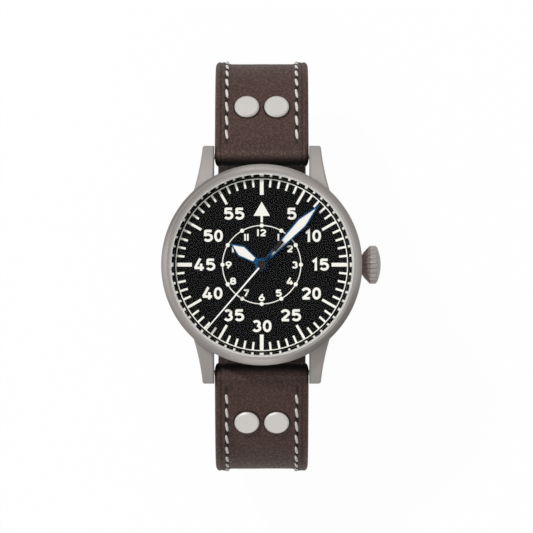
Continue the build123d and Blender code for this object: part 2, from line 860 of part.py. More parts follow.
def make_barrel_bridge():
    """The barrel's bridge, with recesses for the ratchet and crown wheels and the stem's pinions."""
    plan = Circle(movement_radius) & barrel_side(0)
    bridge = Pos(0, 0, bridge_low) * extrude(plan, bridge_thickness)
    recess = bridge_low + bridge_thickness / 2 + level_gap
    for place, teeth in ((barrel_at, ratchet_teeth), (crown_wheel_at, crown_wheel_teeth)):
        wheel = winding_module * (teeth / 2 + addendum_share) + 2 * running_clearance
        bridge -= disc(wheel, bridge_low - cut_overrun, recess, place)
    bridge += disc(barrel_pivot_radius, bridge_low, recess, crown_wheel_at)
    bridge -= disc(barrel_pivot_radius + running_clearance, 0, bridge_high + cut_overrun, barrel_at)
    bridge -= pinion_space()
    return pierce_for_screws(bridge, screw_angles[:3])


def pinion_space():
    """The room that the two pinions on the stem take in the bridge and the plate."""
    room = winding_pinion_radius + 2 * running_clearance
    start = winding_pinion_x - sliding_pinion_length - 2 * level_gap
    end = winding_pinion_x + winding_pinion_length + level_gap
    return Pos(start, 0, crown_height) * Rot(0, 90, 0) * extrude(Circle(room), end - start)


def make_train_bridge():
    """The going train's bridge, cut clear of the balance and its cock."""
    plan = Circle(movement_radius) - barrel_side(bridge_gap) - Pos(*balance_at) * Circle(
        balance_radius + balance_clearance
    )
    plan -= cock_plan(bridge_gap)
    piece = plan.faces().sort_by(SortBy.AREA)[-1]
    bridge = Pos(0, 0, bridge_low) * extrude(piece, bridge_thickness)
    bridge = jewel_seats(bridge, [centre, second_at, third_at, escape_at])
    return pierce_for_screws(bridge, screw_angles[3:])


def make_balance_cock():
    """The balance cock, with the post that holds the hairspring's outer end."""
    plan = Circle(movement_radius) & cock_plan()
    cock = Pos(0, 0, bridge_low) * extrude(plan, bridge_thickness)
    stud = polar(hairspring_outer_radius, cock_foot_angle, balance_at)
    cock += disc(2 * hairspring_thickness, bridge_high - level_gap, hairspring_low - level_gap / 2, stud)
    cock = jewel_seats(cock, [balance_at])
    return pierce_for_screws(cock, [cock_foot_angle])


def make_main_plate():
    """The main plate: a disc with a rim, screw bosses, pockets, pivot holes and a post."""
    plate = disc(movement_radius, plate_low, plate_high)
    plate += disc(movement_radius, bridge_high, plate_low, bore=movement_radius - plate_rim)
    for angle in screw_angles + [cock_foot_angle]:
        place = polar(screw_circle_radius, angle)
        plate += disc(screw_boss_radius, bridge_high, plate_low, place)
        plate -= disc(
            screw_radius + fit_clearance,
            bridge_high - cut_overrun,
            bridge_low + screw_head_height + screw_length + level_gap,
            place,
        )
    for place, radius in (
        (centre, hour_module * hour_teeth / 2),
        (minute_at, motion_module * minute_teeth / 2),
        (second_at, motion_module * cannon_teeth / 2),
        (setting_at, motion_module * setting_teeth / 2),
    ):
        plate -= disc(radius + 2 * motion_module, motion_floor, plate_high + cut_overrun, place)
    for place in (minute_at, setting_at):
        plate += disc(minute_post_radius, motion_floor, hour_wheel_high + level_gap, place)
    plate -= disc(centre_tube_radius + fit_clearance, plate_low - cut_overrun, plate_high, centre)
    plate -= disc(arbor_radius + running_clearance, plate_low - cut_overrun, plate_high, second_at)
    plate -= disc(barrel_pivot_radius + running_clearance, 0, plate_low + barrel_cap + level_gap, barrel_at)
    for place in (third_at, escape_at, pallet_at, balance_at):
        plate -= disc(jewel_radius, plate_low - cut_overrun, plate_low + jewel_thickness, place)
    plate -= pinion_space()
    channel = 2 * (stem_radius + 2 * running_clearance)
    length = movement_radius - stem_inner_x + level_gap
    plate -= Pos(stem_inner_x - level_gap, 0, crown_height) * Rot(0, 90, 0) * extrude(
        Circle(channel / 2), length + cut_overrun
    )
    return plate


def make_jewels():
    """The jewels that carry the wheels' pivots, in the bridges and the plate."""
    bore = pivot_radius + running_clearance / 2
    below = [
        disc(jewel_radius, bridge_high - jewel_thickness, bridge_high, place, bore)
        for place in (centre, second_at, third_at, escape_at, balance_at)
    ]
    above = [
        disc(jewel_radius, plate_low, plate_low + jewel_thickness, place, bore)
        for place in (third_at, escape_at, pallet_at, balance_at)
    ]
    return below + above


def make_bridge_screws():
    """The slotted screws that hold the bridges and the cock to the plate."""
    screws = []
    for angle in screw_angles + [cock_foot_angle]:
        place = polar(screw_circle_radius, angle)
        screw = disc(screw_head_radius, bridge_low, bridge_low + screw_head_height, place)
        screw += disc(
            screw_radius, bridge_low, bridge_low + screw_head_height + screw_length, place
        )
        slot = Box(2 * screw_head_radius, screw_slot_width, 2 * screw_slot_depth)
        screws.append(screw - Pos(*place, bridge_low) * Rot(0, 0, 2 * angle) * slot)
    return screws


def make_pallet_bridge():
    """The small bridge under the pallet fork, on two feet."""
    bar = SlotOverall(2 * pallet_bridge_reach + pallet_bridge_width, pallet_bridge_width)
    bridge = extrude(bar, pallet_bridge_thickness)
    for side in (-1, 1):
        foot = (side * pallet_bridge_reach, 0)
        bridge += disc(pallet_bridge_width / 2, 0, plate_low - pallet_bridge_low, foot)
    bridge -= disc(pivot_radius + running_clearance / 2, -cut_overrun, pallet_bridge_thickness + cut_overrun)
    return Pos(*pallet_at, pallet_bridge_low) * Rot(0, 0, lever_angle + 90) * bridge


def make_centre_tube():
    """The fixed tube at the centre, between the seconds arbor and the cannon pinion."""
    return disc(centre_tube_radius, plate_low, minute_hand_low + hand_thickness, bore=centre_tube_bore)


def make_barrel():
    """The toothed barrel drum, hollow for the mainspring."""
    root = barrel_module * (barrel_teeth / 2 - dedendum_share)
    outer = root - wheel_thickness
    drum = toothed(barrel_teeth, barrel_module, barrel_low, barrel_low + 2 * wheel_thickness, barrel_at)
    drum += disc(outer, barrel_low, barrel_high, barrel_at)
    drum -= disc(outer - barrel_wall, barrel_low + barrel_cap, barrel_high - barrel_cap, barrel_at)
    return drum - disc(barrel_pivot_radius + running_clearance, 0, plate_low, barrel_at)


def make_barrel_arbor():
    """The barrel's arbor, from the ratchet wheel up to the plate."""
    arbor = disc(barrel_pivot_radius, bridge_low, plate_low + barrel_cap, barrel_at)
    core_low = barrel_low + barrel_cap + level_gap
    return arbor + disc(barrel_arbor_radius, core_low, barrel_high - barrel_cap - level_gap, barrel_at)


def spiral_band(inner, outer, turns, thickness, low, high, place):
    """A flat spiral band of half circles whose centres alternate between two points."""
    half_turns = 2 * turns
    step = (outer - inner) / half_turns
    sides = []
    for offset in (-thickness / 2, thickness / 2):
        arcs = []
        for k in range(half_turns):
            radius = inner + (k + 0.5) * step + offset
            middle = step * (k % 2)
            arcs.append(CenterArc((middle, 0), radius, 180 * (k % 2), 180))
        sides.append(arcs)
    start = Line(sides[0][0] @ 0, sides[1][0] @ 0)
    end = Line(sides[0][-1] @ 1, sides[1][-1] @ 1)
    face = make_face(sides[0] + sides[1] + [start, end])
    return Location((place[0], place[1], low)) * extrude(face, high - low)


def make_mainspring():
    """The mainspring, coiled between the arbor and the drum."""
    root = barrel_module * (barrel_teeth / 2 - dedendum_share)
    outer = root - wheel_thickness - barrel_wall - mainspring_margin
    return spiral_band(
        barrel_arbor_radius + mainspring_margin, outer, mainspring_turns, mainspring_thickness,
        barrel_low + barrel_cap + level_gap, barrel_high - barrel_cap - level_gap, barrel_at,
    )


def make_hairspring():
    """The hairspring under the balance."""
    return spiral_band(
        hairspring_inner_radius, hairspring_outer_radius, hairspring_turns, hairspring_thickness,
        hairspring_low, hairspring_high, balance_at,
    )


def make_ratchet_wheel():
    wheel = toothed(ratchet_teeth, winding_module, bridge_low, bridge_low + bridge_thickness / 2, barrel_at)
    return wheel - disc(barrel_pivot_radius + fit_clearance, 0, bridge_high, barrel_at)


def make_crown_wheel():
    high = bridge_low + bridge_thickness / 2
    wheel = toothed(crown_wheel_teeth, winding_module, bridge_low, high, crown_wheel_at, crown_wheel_phase)
    return wheel - disc(barrel_pivot_radius + running_clearance, 0, bridge_high, crown_wheel_at)


def make_second_wheel():
    """The second wheel, driven by the barrel, with the friction pinion of the motion work above."""
    pinion_high = barrel_low + 2 * wheel_thickness
    wheel = pinioned_wheel(
        second_at,
        (second_teeth, train_module, second_low, second_high, 0),
        (second_pinion_teeth, barrel_module, second_high, pinion_high, second_pinion_phase),
        bridge_high,
        plate_low,
    )
    top = motion_low + motion_level
    wheel += disc(arbor_radius, second_low, top, second_at)
    return wheel + toothed(cannon_teeth, motion_module, motion_low, top, second_at, friction_phase)


def make_third_wheel():
    return pinioned_wheel(
        third_at,
        (third_teeth, train_module, third_low, third_high, 0),
        (third_pinion_teeth, train_module, second_low, second_high, third_pinion_phase),
        bridge_high,
        plate_low,
    )


def make_seconds_wheel():
    """The seconds wheel at the centre, whose arbor reaches up to the seconds hand."""
    wheel = pinioned_wheel(
        centre,
        (seconds_teeth, seconds_module, seconds_low, seconds_high, 0),
        (seconds_pinion_teeth, train_module, third_low, third_high, seconds_pinion_phase),
        bridge_high,
        third_high,
    )
    top = seconds_hand_low + seconds_hand_thickness
    return wheel + disc(seconds_arbor_radius, seconds_high, top, centre)


def make_escape_wheel():
    """The escape wheel with its hooked teeth, and its pinion."""
    step = 360 / escape_teeth
    corners = []
    for tooth in range(escape_teeth):
        corners.append(polar(escape_root_radius, tooth * step))
        corners.append(polar(escape_radius, (tooth + escape_hook_share) * step))
    face = make_face(Polyline(*corners, close=True))
    wheel = Pos(*escape_at, escape_low) * extrude(face, wheel_thickness)
    wheel += toothed(
        escape_pinion_teeth, seconds_module, seconds_low, seconds_high, escape_at, escape_pinion_phase
    )
    wheel += disc(arbor_radius, bridge_high + level_gap, plate_low - level_gap, escape_at)
    return wheel + disc(pivot_radius, bridge_high - pivot_length, plate_low + pivot_length, escape_at)


def make_pallet_fork():
    """The pallet fork: two arms at the escape wheel and a notched lever at the balance."""
    half = fork_width / 2
    notch_x = lever_length - impulse_radius - 2 * impulse_pin_radius
    notch_half = impulse_pin_radius + running_clearance
    tip_x = notch_x + fork_horn_reach + 2 * impulse_pin_radius
    arm_x = fork_arm_reach
    arm_y = fork_arm_spread
    corners = [
        (half, half), (notch_x - half, half), (notch_x, notch_half + half), (tip_x, notch_half + half),
        (tip_x, notch_half), (notch_x, notch_half),
        (notch_x, -notch_half), (tip_x, -notch_half), (tip_x, -notch_half - half),
        (notch_x, -notch_half - half), (notch_x - half, -half), (half, -half),
        (-arm_x + fork_width, -arm_y), (-arm_x, -arm_y),
        (-half, 0), (-arm_x, arm_y), (-arm_x + fork_width, arm_y),
    ]
    face = make_face(Polyline(*corners, close=True)) + Circle(fork_width)
    fork = Pos(0, 0, escape_low) * extrude(face, wheel_thickness)
    fork += disc(pivot_radius, pallet_bridge_low, plate_low + pivot_length)
    return Pos(*pallet_at) * Rot(0, 0, lever_angle) * fork


def make_balance_wheel():
    """The balance: rim, two arms, staff, roller and impulse pin."""
    rim = Circle(balance_radius) - Circle(balance_radius - balance_rim)
    face = rim + Rectangle(2 * balance_radius - balance_rim, 2 * spoke_width) + Circle(roller_radius)
    wheel = Pos(0, 0, balance_low) * extrude(face, balance_height)
    wheel += disc(arbor_radius, bridge_high + level_gap, plate_low - level_gap)
    wheel += disc(pivot_radius, bridge_high - pivot_length, plate_low + pivot_length)
    roller_high = escape_low - level_gap
    wheel += disc(impulse_radius + 2 * impulse_pin_radius, roller_high - level_gap, roller_high)
    wheel += disc(impulse_pin_radius, roller_high - level_gap, escape_high, (-impulse_radius, 0))
    return Pos(*balance_at) * Rot(0, 0, lever_angle) * wheel


def make_cannon_pinion():
    """The cannon pinion, whose pipe carries the minute hand."""
    pinion = toothed(cannon_teeth, motion_module, motion_low, motion_low + motion_level)
    pinion += disc(cannon_radius, motion_low, minute_hand_low + hand_thickness)
    return pinion - disc(centre_tube_radius + running_clearance, 0, seconds_hand_low)


def make_minute_wheel():
    """The minute wheel and its pinion, on a post of the plate."""
    high = motion_low + wheel_thickness
    wheel = toothed(minute_teeth, motion_module, motion_low, high, minute_at, minute_phase)
    wheel += toothed(minute_pinion_teeth, hour_module, motion_low, hour_wheel_high, minute_at)
    return wheel - disc(minute_post_radius + running_clearance, 0, dial_high, minute_at)


def make_setting_wheel():
    high = motion_low + wheel_thickness
    wheel = toothed(setting_teeth, motion_module, motion_low, high, setting_at, setting_phase)
    return wheel - disc(minute_post_radius + running_clearance, 0, dial_high, setting_at)


def make_hour_wheel():
    """The hour wheel, whose pipe carries the hour hand."""
    wheel = toothed(hour_teeth, hour_module, hour_wheel_low, hour_wheel_high, centre, hour_phase)
    wheel += disc(hour_pipe_radius, hour_wheel_low, hour_hand_low + hand_thickness)
    return wheel - disc(cannon_radius + running_clearance, 0, seconds_hand_low)


def make_rotor():
    """The winding rotor: a half disc with two windows, a heavy rim and a hub."""
    half = Circle(rotor_radius) - Pos(0, rotor_radius) * Rectangle(2 * rotor_radius, 2 * rotor_radius)
    inner = rotor_radius - rotor_rim_width
    window = Circle(inner - rim_width) - Circle(rotor_bearing_radius + rim_width)
    for angle in (180, 270, 360):
        window -= Rot(0, 0, angle) * Pos(rotor_radius / 2, 0) * Rectangle(rotor_radius, 3 * rim_width)
    window -= Pos(0, rotor_radius) * Rectangle(2 * rotor_radius, 2 * rotor_radius)
    plan = half + Circle(rotor_bearing_radius) - window
    rotor = Pos(0, 0, rotor_low) * extrude(plan, rotor_plate_thickness)
    rotor += Pos(0, 0, rotor_low) * extrude(half - Circle(inner), rotor_rim_height)
    return rotor + disc(rotor_hub_radius, rotor_low, bridge_low - level_gap)


def make_rotor_bearing():
    """The rotor's bearing ring, fixed to the train bridge."""
    low = rotor_low + rotor_plate_thickness + level_gap
    return disc(rotor_bearing_radius, low, bridge_low, bore=rotor_hub_radius + running_clearance)


def make_movement_ring():
    """The ring that centres the movement in the case, with a tunnel for the stem."""
    low = plate_high - movement_ring_depth
    inner = movement_radius + movement_ring_bore_gap
    ring = disc(case_bore_radius - running_clearance, low, plate_high, bore=inner)
    tunnel = Pos(movement_radius, 0, crown_height) * Rot(0, 90, 0) * extrude(
        Circle(stem_radius + 4 * running_clearance), case_bore_radius
    )
    return ring - tunnel


# The strap: drawn for the 12 o'clock side in the YZ plane, and mirrored for the 6 o'clock side


def from_fold(along, out):
    """A point of the strap's flank: a distance down from the spring bar, and out from the flank's middle."""
    return (
        fold_at[0] + along * slope_y + out * slope_z,
        fold_at[1] - along * slope_z + out * slope_y,
    )


def bend_centre(radius):
    return from_fold(flank_length, fold_radius - radius)


def run_height(radius):
    """The height of the strap's outer face along its bottom run."""
    return bend_centre(radius)[1] - radius


short_run = run_height(bend_radius)
long_run = run_height(long_bend_radius)
hinge_at = (short_strap_end_y, short_run + strap_thickness / 2)
keeper_bottom = long_run - keeper_gap - keeper_thickness


def strap_side(radius, run_end_y):
    """The side view of a strap half: its fold, tapering flank, bend and bottom run."""
    middle = bend_centre(radius)
    inner_radius = radius - strap_thickness
    start = 90 - strap_slope
    outer_start = from_fold(0, fold_radius)
    outer_bend = from_fold(flank_length, fold_radius)
    inner_bend = from_fold(flank_length, fold_radius - strap_thickness)
    inner_start = from_fold(0, -fold_radius)
    bottom = run_height(radius)
    top = bottom + strap_thickness
    return make_face(
        Line(outer_start, outer_bend)
        + CenterArc(middle, radius, start, -start - 90)
        + Polyline((middle[0], bottom), (run_end_y, bottom), (run_end_y, top), (middle[0], top))
        + CenterArc(middle, inner_radius, -90, start + 90)
        + Line(inner_bend, inner_start)
        + ThreePointArc(inner_start, from_fold(-fold_radius, 0), outer_start)
    )


def lining_side(radius, run_end_y):
    """The side view of the lining, along the inside of a strap half."""
    middle = bend_centre(radius)
    inner_radius = radius - strap_thickness
    start = 90 - strap_slope
    taper = (2 * fold_radius - strap_thickness) / flank_length
    near = from_fold(lining_start, -fold_radius + taper * lining_start)
    near_out = from_fold(lining_start, -fold_radius + taper * lining_start + lining_thickness)
    inner_bend = from_fold(flank_length, fold_radius - strap_thickness)
    lined_bend = from_fold(flank_length, fold_radius - strap_thickness + lining_thickness)
    top = run_height(radius) + strap_thickness
    low = top - lining_thickness
    return make_face(
        Line(near_out, lined_bend)
        + CenterArc(middle, inner_radius + lining_thickness, start, -start - 90)
        + Polyline((middle[0], low), (run_end_y, low), (run_end_y, top), (middle[0], top))
        + CenterArc(middle, inner_radius, -90, start + 90)
        + Polyline(inner_bend, near, near_out)
    )


def taper_cutter(radius):
    """The strap's outline from the front: full width at the lugs, narrower along the bottom run."""
    bottom = run_height(radius) - cut_overrun
    top = fold_at[1] + fold_radius + cut_overrun
    start = bend_centre(radius)[1]
    face = make_face(
        Polyline(
            (-strap_half_width, top), (strap_half_width, top), (strap_half_width, start),
            (strap_end_half_width, run_height(radius) + strap_thickness), (strap_end_half_width, bottom),
            (-strap_end_half_width, bottom), (-strap_end_half_width, run_height(radius) + strap_thickness),
            (-strap_half_width, start), close=True,
        )
    )
    depth = 2 * (fold_at[0] + flank_length + radius)
    return extrude(Plane.XZ * face, depth, both=True)


def fold_corners():
    """The slanted cuts that narrow the fold's corners beside the lugs."""
    cutters = []
    for side in (-1, 1):
        face = make_face(
            Polyline(
                (side * (strap_half_width - fold_corner), fold_at[0] - fold_radius - cut_overrun),
                (side * (strap_half_width - fold_corner), fold_at[0] - fold_radius),
                (side * (strap_half_width + fit_clearance), fold_at[0] - fold_radius + fold_corner_length),
                (side * (strap_half_width + cut_overrun), fold_at[0] - fold_radius - cut_overrun),
                close=True,
            )
        )
        cutters.append(Pos(0, 0, fold_at[1] - 2 * fold_radius) * extrude(face, 4 * fold_radius))
    return cutters


def across(radius, place, length):
    """A cylinder along X through a point of the YZ plane."""
    return Location((0, place[0], place[1]), (0, 90, 0)) * Cylinder(radius, length)


def extrude_side(face, half_width):
    return extrude(Plane.YZ * face, half_width, both=True)


def strap_half(radius, run_end_y):
    """The leather and the lining of one strap half, on the 12 o'clock side."""
    whole = extrude_side(strap_side(radius, run_end_y), strap_half_width) & taper_cutter(radius)
    lining = extrude_side(lining_side(radius, run_end_y), strap_half_width) & taper_cutter(radius)
    leather = whole - lining - fold_corners()
    leather -= across(spring_bar_radius + running_clearance, fold_at, 3 * strap_half_width)
    leather -= rivet_shanks(rivet_shank_radius + fit_clearance)
    return leather, lining


def rivet_places():
    """Where the two rivets stand on the flank, with their axis along its normal."""
    return [
        Pos(x, *from_fold(rivet_flank_distance, fold_radius)) * Rot(-strap_slope, 0, 0)
        for x in (-rivet_spacing / 2, rivet_spacing / 2)
    ]


def rivet_shanks(radius):
    shank = Pos(0, 0, -rivet_shank_length / 2) * Cylinder(radius, rivet_shank_length)
    return [place * shank for place in rivet_places()]


def make_rivets():
    """The two flat rivets with bevelled heads, on the 12 o'clock side."""
    head = turned(
        (0, 0), (rivet_radius, 0), (rivet_radius, rivet_height - rivet_bevel),
        (rivet_flat_radius, rivet_height), (0, rivet_height),
    )
    shank = Pos(0, 0, -(rivet_shank_length - fit_clearance) / 2) * Cylinder(
        rivet_shank_radius, rivet_shank_length - fit_clearance
    )
    return [place * (head + shank) for place in rivet_places()]


def make_short_strap():
    """The 12 o'clock half, folded round the buckle's bar with a slot for the tongue."""
    leather, lining = strap_half(bend_radius, short_strap_end_y)
    leather = leather + across(strap_thickness / 2, hinge_at, 2 * strap_end_half_width)
    leather -= across(buckle_bar_radius + running_clearance, hinge_at, 3 * strap_half_width)
    slot_half = tongue_width / 2 + tongue_slot_gap
    slot_length = 2 * (tongue_barrel_radius + tongue_slot_gap)
    slot = Pos(0, *hinge_at) * Box(2 * slot_half, 2 * slot_length, 2 * strap_thickness)
    lining -= across(tongue_barrel_radius + tongue_slot_gap, hinge_at, 3 * strap_half_width)
    lining_end = Pos(0, *hinge_at) * Box(3 * strap_half_width, 2 * slot_length, 3 * strap_thickness)
    fold = (lining & lining_end) - slot
    return leather - slot + fold, lining - lining_end


def make_long_strap():
    """The 6 o'clock half, with its tapered tip and a row of buckle holes."""
    leather, lining = strap_half(long_bend_radius, -long_strap_tip_y)
    tip_start = long_strap_tip_length - long_strap_tip_y
    wide = strap_end_half_width + cut_overrun
    low = long_run - cut_overrun
    deep = strap_thickness + 2 * cut_overrun
    bow_x = (strap_end_half_width + long_strap_tip_half_width) / 2
    bow_y = tip_start - long_strap_tip_bow_share * long_strap_tip_length
    tip = make_face(
        Line((-wide, tip_start), (-strap_end_half_width, tip_start))
        + ThreePointArc((-strap_end_half_width, tip_start), (-bow_x, bow_y), (0, -long_strap_tip_y))
        + ThreePointArc((0, -long_strap_tip_y), (bow_x, bow_y), (strap_end_half_width, tip_start))
        + Polyline(
            (strap_end_half_width, tip_start), (wide, tip_start), (wide, -long_strap_tip_y - cut_overrun),
            (-wide, -long_strap_tip_y - cut_overrun), (-wide, tip_start),
        )
    )
    cutter = Pos(0, 0, low) * extrude(tip, deep)
    tongue_at = tongue_drop_y - short_strap_end_y
    holes = [
        Pos(0, tongue_at + (k - holes_past_tongue) * hole_pitch, low)
        * extrude(Rot(0, 0, 90) * SlotOverall(hole_length, hole_width), deep)
        for k in range(hole_count)
    ]
    return [mirror(half - cutter - holes, Plane.XZ) for half in (leather, lining)]


def make_buckle_bar():
    """The bar that the short strap, the tongue and the buckle's frame turn on."""
    reach_x = strap_end_half_width + buckle_inner_gap + buckle_arm_width
    return across(buckle_bar_radius, hinge_at, 2 * reach_x)


def make_buckle_frame():
    """The buckle's frame: two arms with ears on the hinge bar, and the free bar with the tongue's groove."""
    inner_x = strap_end_half_width + buckle_inner_gap
    free_y = short_strap_end_y - buckle_reach
    half = free_bar_width / 2
    bottom = keeper_bottom
    top = bottom + free_bar_thickness
    arm = make_face(
        Polyline(
            (free_y - half, bottom + free_bar_bevel),
            (free_y - half + free_bar_bevel, bottom),
            (free_y + half - free_bar_bevel, bottom),
            (hinge_at[0] + buckle_ear_radius * slope_z, hinge_at[1] - buckle_ear_radius * slope_y),
            (hinge_at[0] - buckle_ear_radius * slope_z, hinge_at[1] + buckle_ear_radius * slope_y),
            (free_y - half, top),
            close=True,
        )
    )
    arm += Pos(*hinge_at) * Circle(buckle_ear_radius)
    both = extrude_side(arm, inner_x + buckle_arm_width) - extrude_side(arm, inner_x)
    bar = make_face(
        Polyline(
            (free_y - half, bottom + free_bar_bevel),
            (free_y - half + free_bar_bevel, bottom),
            (free_y + half - free_bar_bevel, bottom),
            (free_y + half, bottom + free_bar_bevel),
            (free_y + half, top),
            (free_y - half, top),
            close=True,
        )
    )
    frame = both + extrude_side(bar, inner_x + buckle_arm_width)
    frame -= across(buckle_bar_radius + running_clearance, hinge_at, 4 * inner_x)
    groove_x = tongue_width + 4 * running_clearance
    groove_z = tongue_thickness + running_clearance
    frame -= Pos(0, free_y, bottom) * Box(groove_x, 2 * free_bar_width, 2 * groove_z)
    return frame


def make_buckle_tongue():
    """The tongue: a barrel on the hinge bar, a drop through the strap's hole, and the blade in its groove."""
    drop_y = short_strap_end_y - tongue_drop_y
    end_y = short_strap_end_y - buckle_reach - free_bar_width / 2 - tongue_overhang
    bottom = keeper_bottom
    half = tongue_thickness / 2
    side = make_face(
        Polyline(
            (hinge_at[0], hinge_at[1] - half),
            (hinge_at[0], hinge_at[1] + half),
            (drop_y - half, hinge_at[1] + half / 2),
            (drop_y - half, bottom + tongue_thickness + half),
            (drop_y - 2 * half, bottom + tongue_thickness),
            (end_y, bottom + tongue_thickness),
            (end_y, bottom + half),
            (end_y + half, bottom),
            (drop_y, bottom),
            (drop_y + half, bottom + half),
            (drop_y + half, hinge_at[1] - 2 * half),
            close=True,
        )
    )
    tongue = extrude_side(side, tongue_width / 2) + across(tongue_barrel_radius, hinge_at, tongue_width)
    return tongue - across(buckle_bar_radius + running_clearance, hinge_at, 2 * tongue_width)


def make_keeper(start_y):
    """A leather keeper loop round both straps."""
    inner_x = strap_end_half_width + keeper_gap
    top = short_run + strap_thickness + keeper_gap
    bottom = keeper_bottom + keeper_thickness
    height = top - bottom
    outer = RectangleRounded(
        2 * (inner_x + keeper_thickness), height + 2 * keeper_thickness, keeper_corner_radius
    )
    inner = RectangleRounded(2 * inner_x, height, keeper_corner_radius - keeper_thickness / 2)
    return Pos(0, start_y + keeper_width / 2, (top + bottom) / 2) * Rot(90, 0, 0) * extrude(
        outer - inner, keeper_width / 2, both=True
    )


hour_hand, hour_lume = make_hour_hand()
minute_hand, minute_lume = make_minute_hand()
short_leather, short_lining = make_short_strap()
long_leather, long_lining = make_long_strap()

nodes = {
    "mid_case": make_mid_case(),
    "bezel": make_bezel(),
    "crystal": make_crystal(),
    "crystal_gasket": disc(
        crystal_radius + crystal_gasket_wall, crystal_low, crystal_high - crystal_chamfer, bore=crystal_radius
    ),
    "case_back": make_case_back(),
    "case_back_gasket": disc(
        back_radius - back_gasket_inset, back_thickness, back_thickness + back_gasket_section - fit_clearance,
        bore=back_radius - back_gasket_inset - back_gasket_section,
    ),
    "spring_bar_12": make_spring_bar(1),
    "spring_bar_6": make_spring_bar(-1),
    "crown_tube": make_crown_tube(),
    "crown": make_crown(),
    "crown_seal": make_seal(),
    "winding_stem": make_stem(),
    "winding_pinion": make_winding_pinion(),
    "sliding_pinion": make_sliding_pinion(),
    "dial": make_dial(),
    "hour_hand": hour_hand,
    "hour_hand_lume": hour_lume,
    "minute_hand": minute_hand,
    "minute_hand_lume": minute_lume,
    "seconds_hand": make_seconds_hand(),
    "movement_ring": make_movement_ring(),
    "main_plate": make_main_plate(),
    "centre_tube": make_centre_tube(),
    "barrel_bridge": make_barrel_bridge(),
    "train_bridge": make_train_bridge(),
    "balance_cock": make_balance_cock(),
    "pallet_bridge": make_pallet_bridge(),
    "bridge_screws": make_bridge_screws(),
    "jewels": make_jewels(),
    "barrel": make_barrel(),
    "barrel_arbor": make_barrel_arbor(),
    "mainspring": make_mainspring(),
    "ratchet_wheel": make_ratchet_wheel(),
    "crown_wheel": make_crown_wheel(),
    "second_wheel": make_second_wheel(),
    "third_wheel": make_third_wheel(),
    "seconds_wheel": make_seconds_wheel(),
    "escape_wheel": make_escape_wheel(),
    "pallet_fork": make_pallet_fork(),
    "balance_wheel": make_balance_wheel(),
    "hairspring": make_hairspring(),
    "cannon_pinion": make_cannon_pinion(),
    "minute_wheel": make_minute_wheel(),
    "setting_wheel": make_setting_wheel(),
    "hour_wheel": make_hour_wheel(),
    "rotor": make_rotor(),
    "rotor_bearing": make_rotor_bearing(),
    "strap_12_leather": short_leather,
    "strap_12_lining": short_lining,
    "strap_6_leather": long_leather,
    "strap_6_lining": long_lining,
    "rivets_12": make_rivets(),
    "rivets_6": [mirror(rivet, Plane.XZ) for rivet in make_rivets()],
    "buckle_bar": make_buckle_bar(),
    "buckle_frame": make_buckle_frame(),
    "buckle_tongue": make_buckle_tongue(),
    "fixed_keeper": make_keeper(fixed_keeper_y),
    "free_keeper": make_keeper(free_keeper_y),
}

os.makedirs("parts", exist_ok=True)
for name, shape in nodes.items():
    solids = [solid for piece in (shape if isinstance(shape, list) else [shape]) for solid in piece.solids()]
    export_step(solids[0] if len(solids) == 1 else Compound(children=solids), f"parts/{name}.step")
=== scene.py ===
"""The looks of a pilot watch on a riveted leather strap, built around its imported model."""

from dataclasses import dataclass
import itertools
import json
import math
import random

import bpy
from mathutils import Matrix, Vector, noise


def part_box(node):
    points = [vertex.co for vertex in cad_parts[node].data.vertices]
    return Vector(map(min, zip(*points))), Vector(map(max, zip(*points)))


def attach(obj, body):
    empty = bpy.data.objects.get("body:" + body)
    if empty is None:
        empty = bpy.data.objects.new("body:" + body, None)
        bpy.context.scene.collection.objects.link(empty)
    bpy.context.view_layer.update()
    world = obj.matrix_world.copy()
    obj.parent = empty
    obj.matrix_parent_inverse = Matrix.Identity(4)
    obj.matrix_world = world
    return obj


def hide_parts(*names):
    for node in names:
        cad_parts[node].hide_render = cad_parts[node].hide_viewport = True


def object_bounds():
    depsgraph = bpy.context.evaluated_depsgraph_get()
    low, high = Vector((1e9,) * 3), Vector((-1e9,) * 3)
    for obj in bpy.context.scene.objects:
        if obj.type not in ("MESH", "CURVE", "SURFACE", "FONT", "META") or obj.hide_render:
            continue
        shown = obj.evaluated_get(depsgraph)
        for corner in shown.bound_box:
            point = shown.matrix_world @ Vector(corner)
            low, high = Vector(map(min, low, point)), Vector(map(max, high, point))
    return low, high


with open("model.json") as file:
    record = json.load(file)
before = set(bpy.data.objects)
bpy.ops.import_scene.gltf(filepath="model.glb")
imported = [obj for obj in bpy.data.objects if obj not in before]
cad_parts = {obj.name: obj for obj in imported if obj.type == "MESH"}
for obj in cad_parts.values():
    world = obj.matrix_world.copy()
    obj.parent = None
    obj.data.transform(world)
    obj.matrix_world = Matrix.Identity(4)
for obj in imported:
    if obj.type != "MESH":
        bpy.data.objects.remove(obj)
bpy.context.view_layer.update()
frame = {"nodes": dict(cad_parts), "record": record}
chance = random.Random(7)
MM = 0.001

# Strap, in millimetres, as it lies around its spring bars and the buckle's bar
spring_bar_y = 22.7
spring_bar_z = 1.9
spring_bar_hole = 0.96
slope_degrees = 30
fold_radius = 2.1
flank_length = 11.8
strap_thickness = 2.6
lining_thickness = 1.0
lining_start = 6.0
lining_gap = 0.04
fold_wall = 1.12
layer_clearance = 0.03
leather_thickness = strap_thickness - lining_thickness - layer_clearance
fold_run_places = (0.5, spring_bar_hole, spring_bar_hole + 0.1, 1.6, 2.2, 3.0)
strap_slope = math.radians(slope_degrees)
short_bend_radius = 19.2
layer_gap = 0.35
long_bend_radius = short_bend_radius + (strap_thickness + layer_gap) / (1 + math.cos(strap_slope))
short_end_y = 3.5
long_tip_y = 26.0
long_tip_length = 7.0
tip_curve = 2.6
tip_bluntness = 0.62
tip_end_half_width = 0.9
strap_half_width = 9.88
strap_end_half_width = 9.6
fold_corner = 0.08
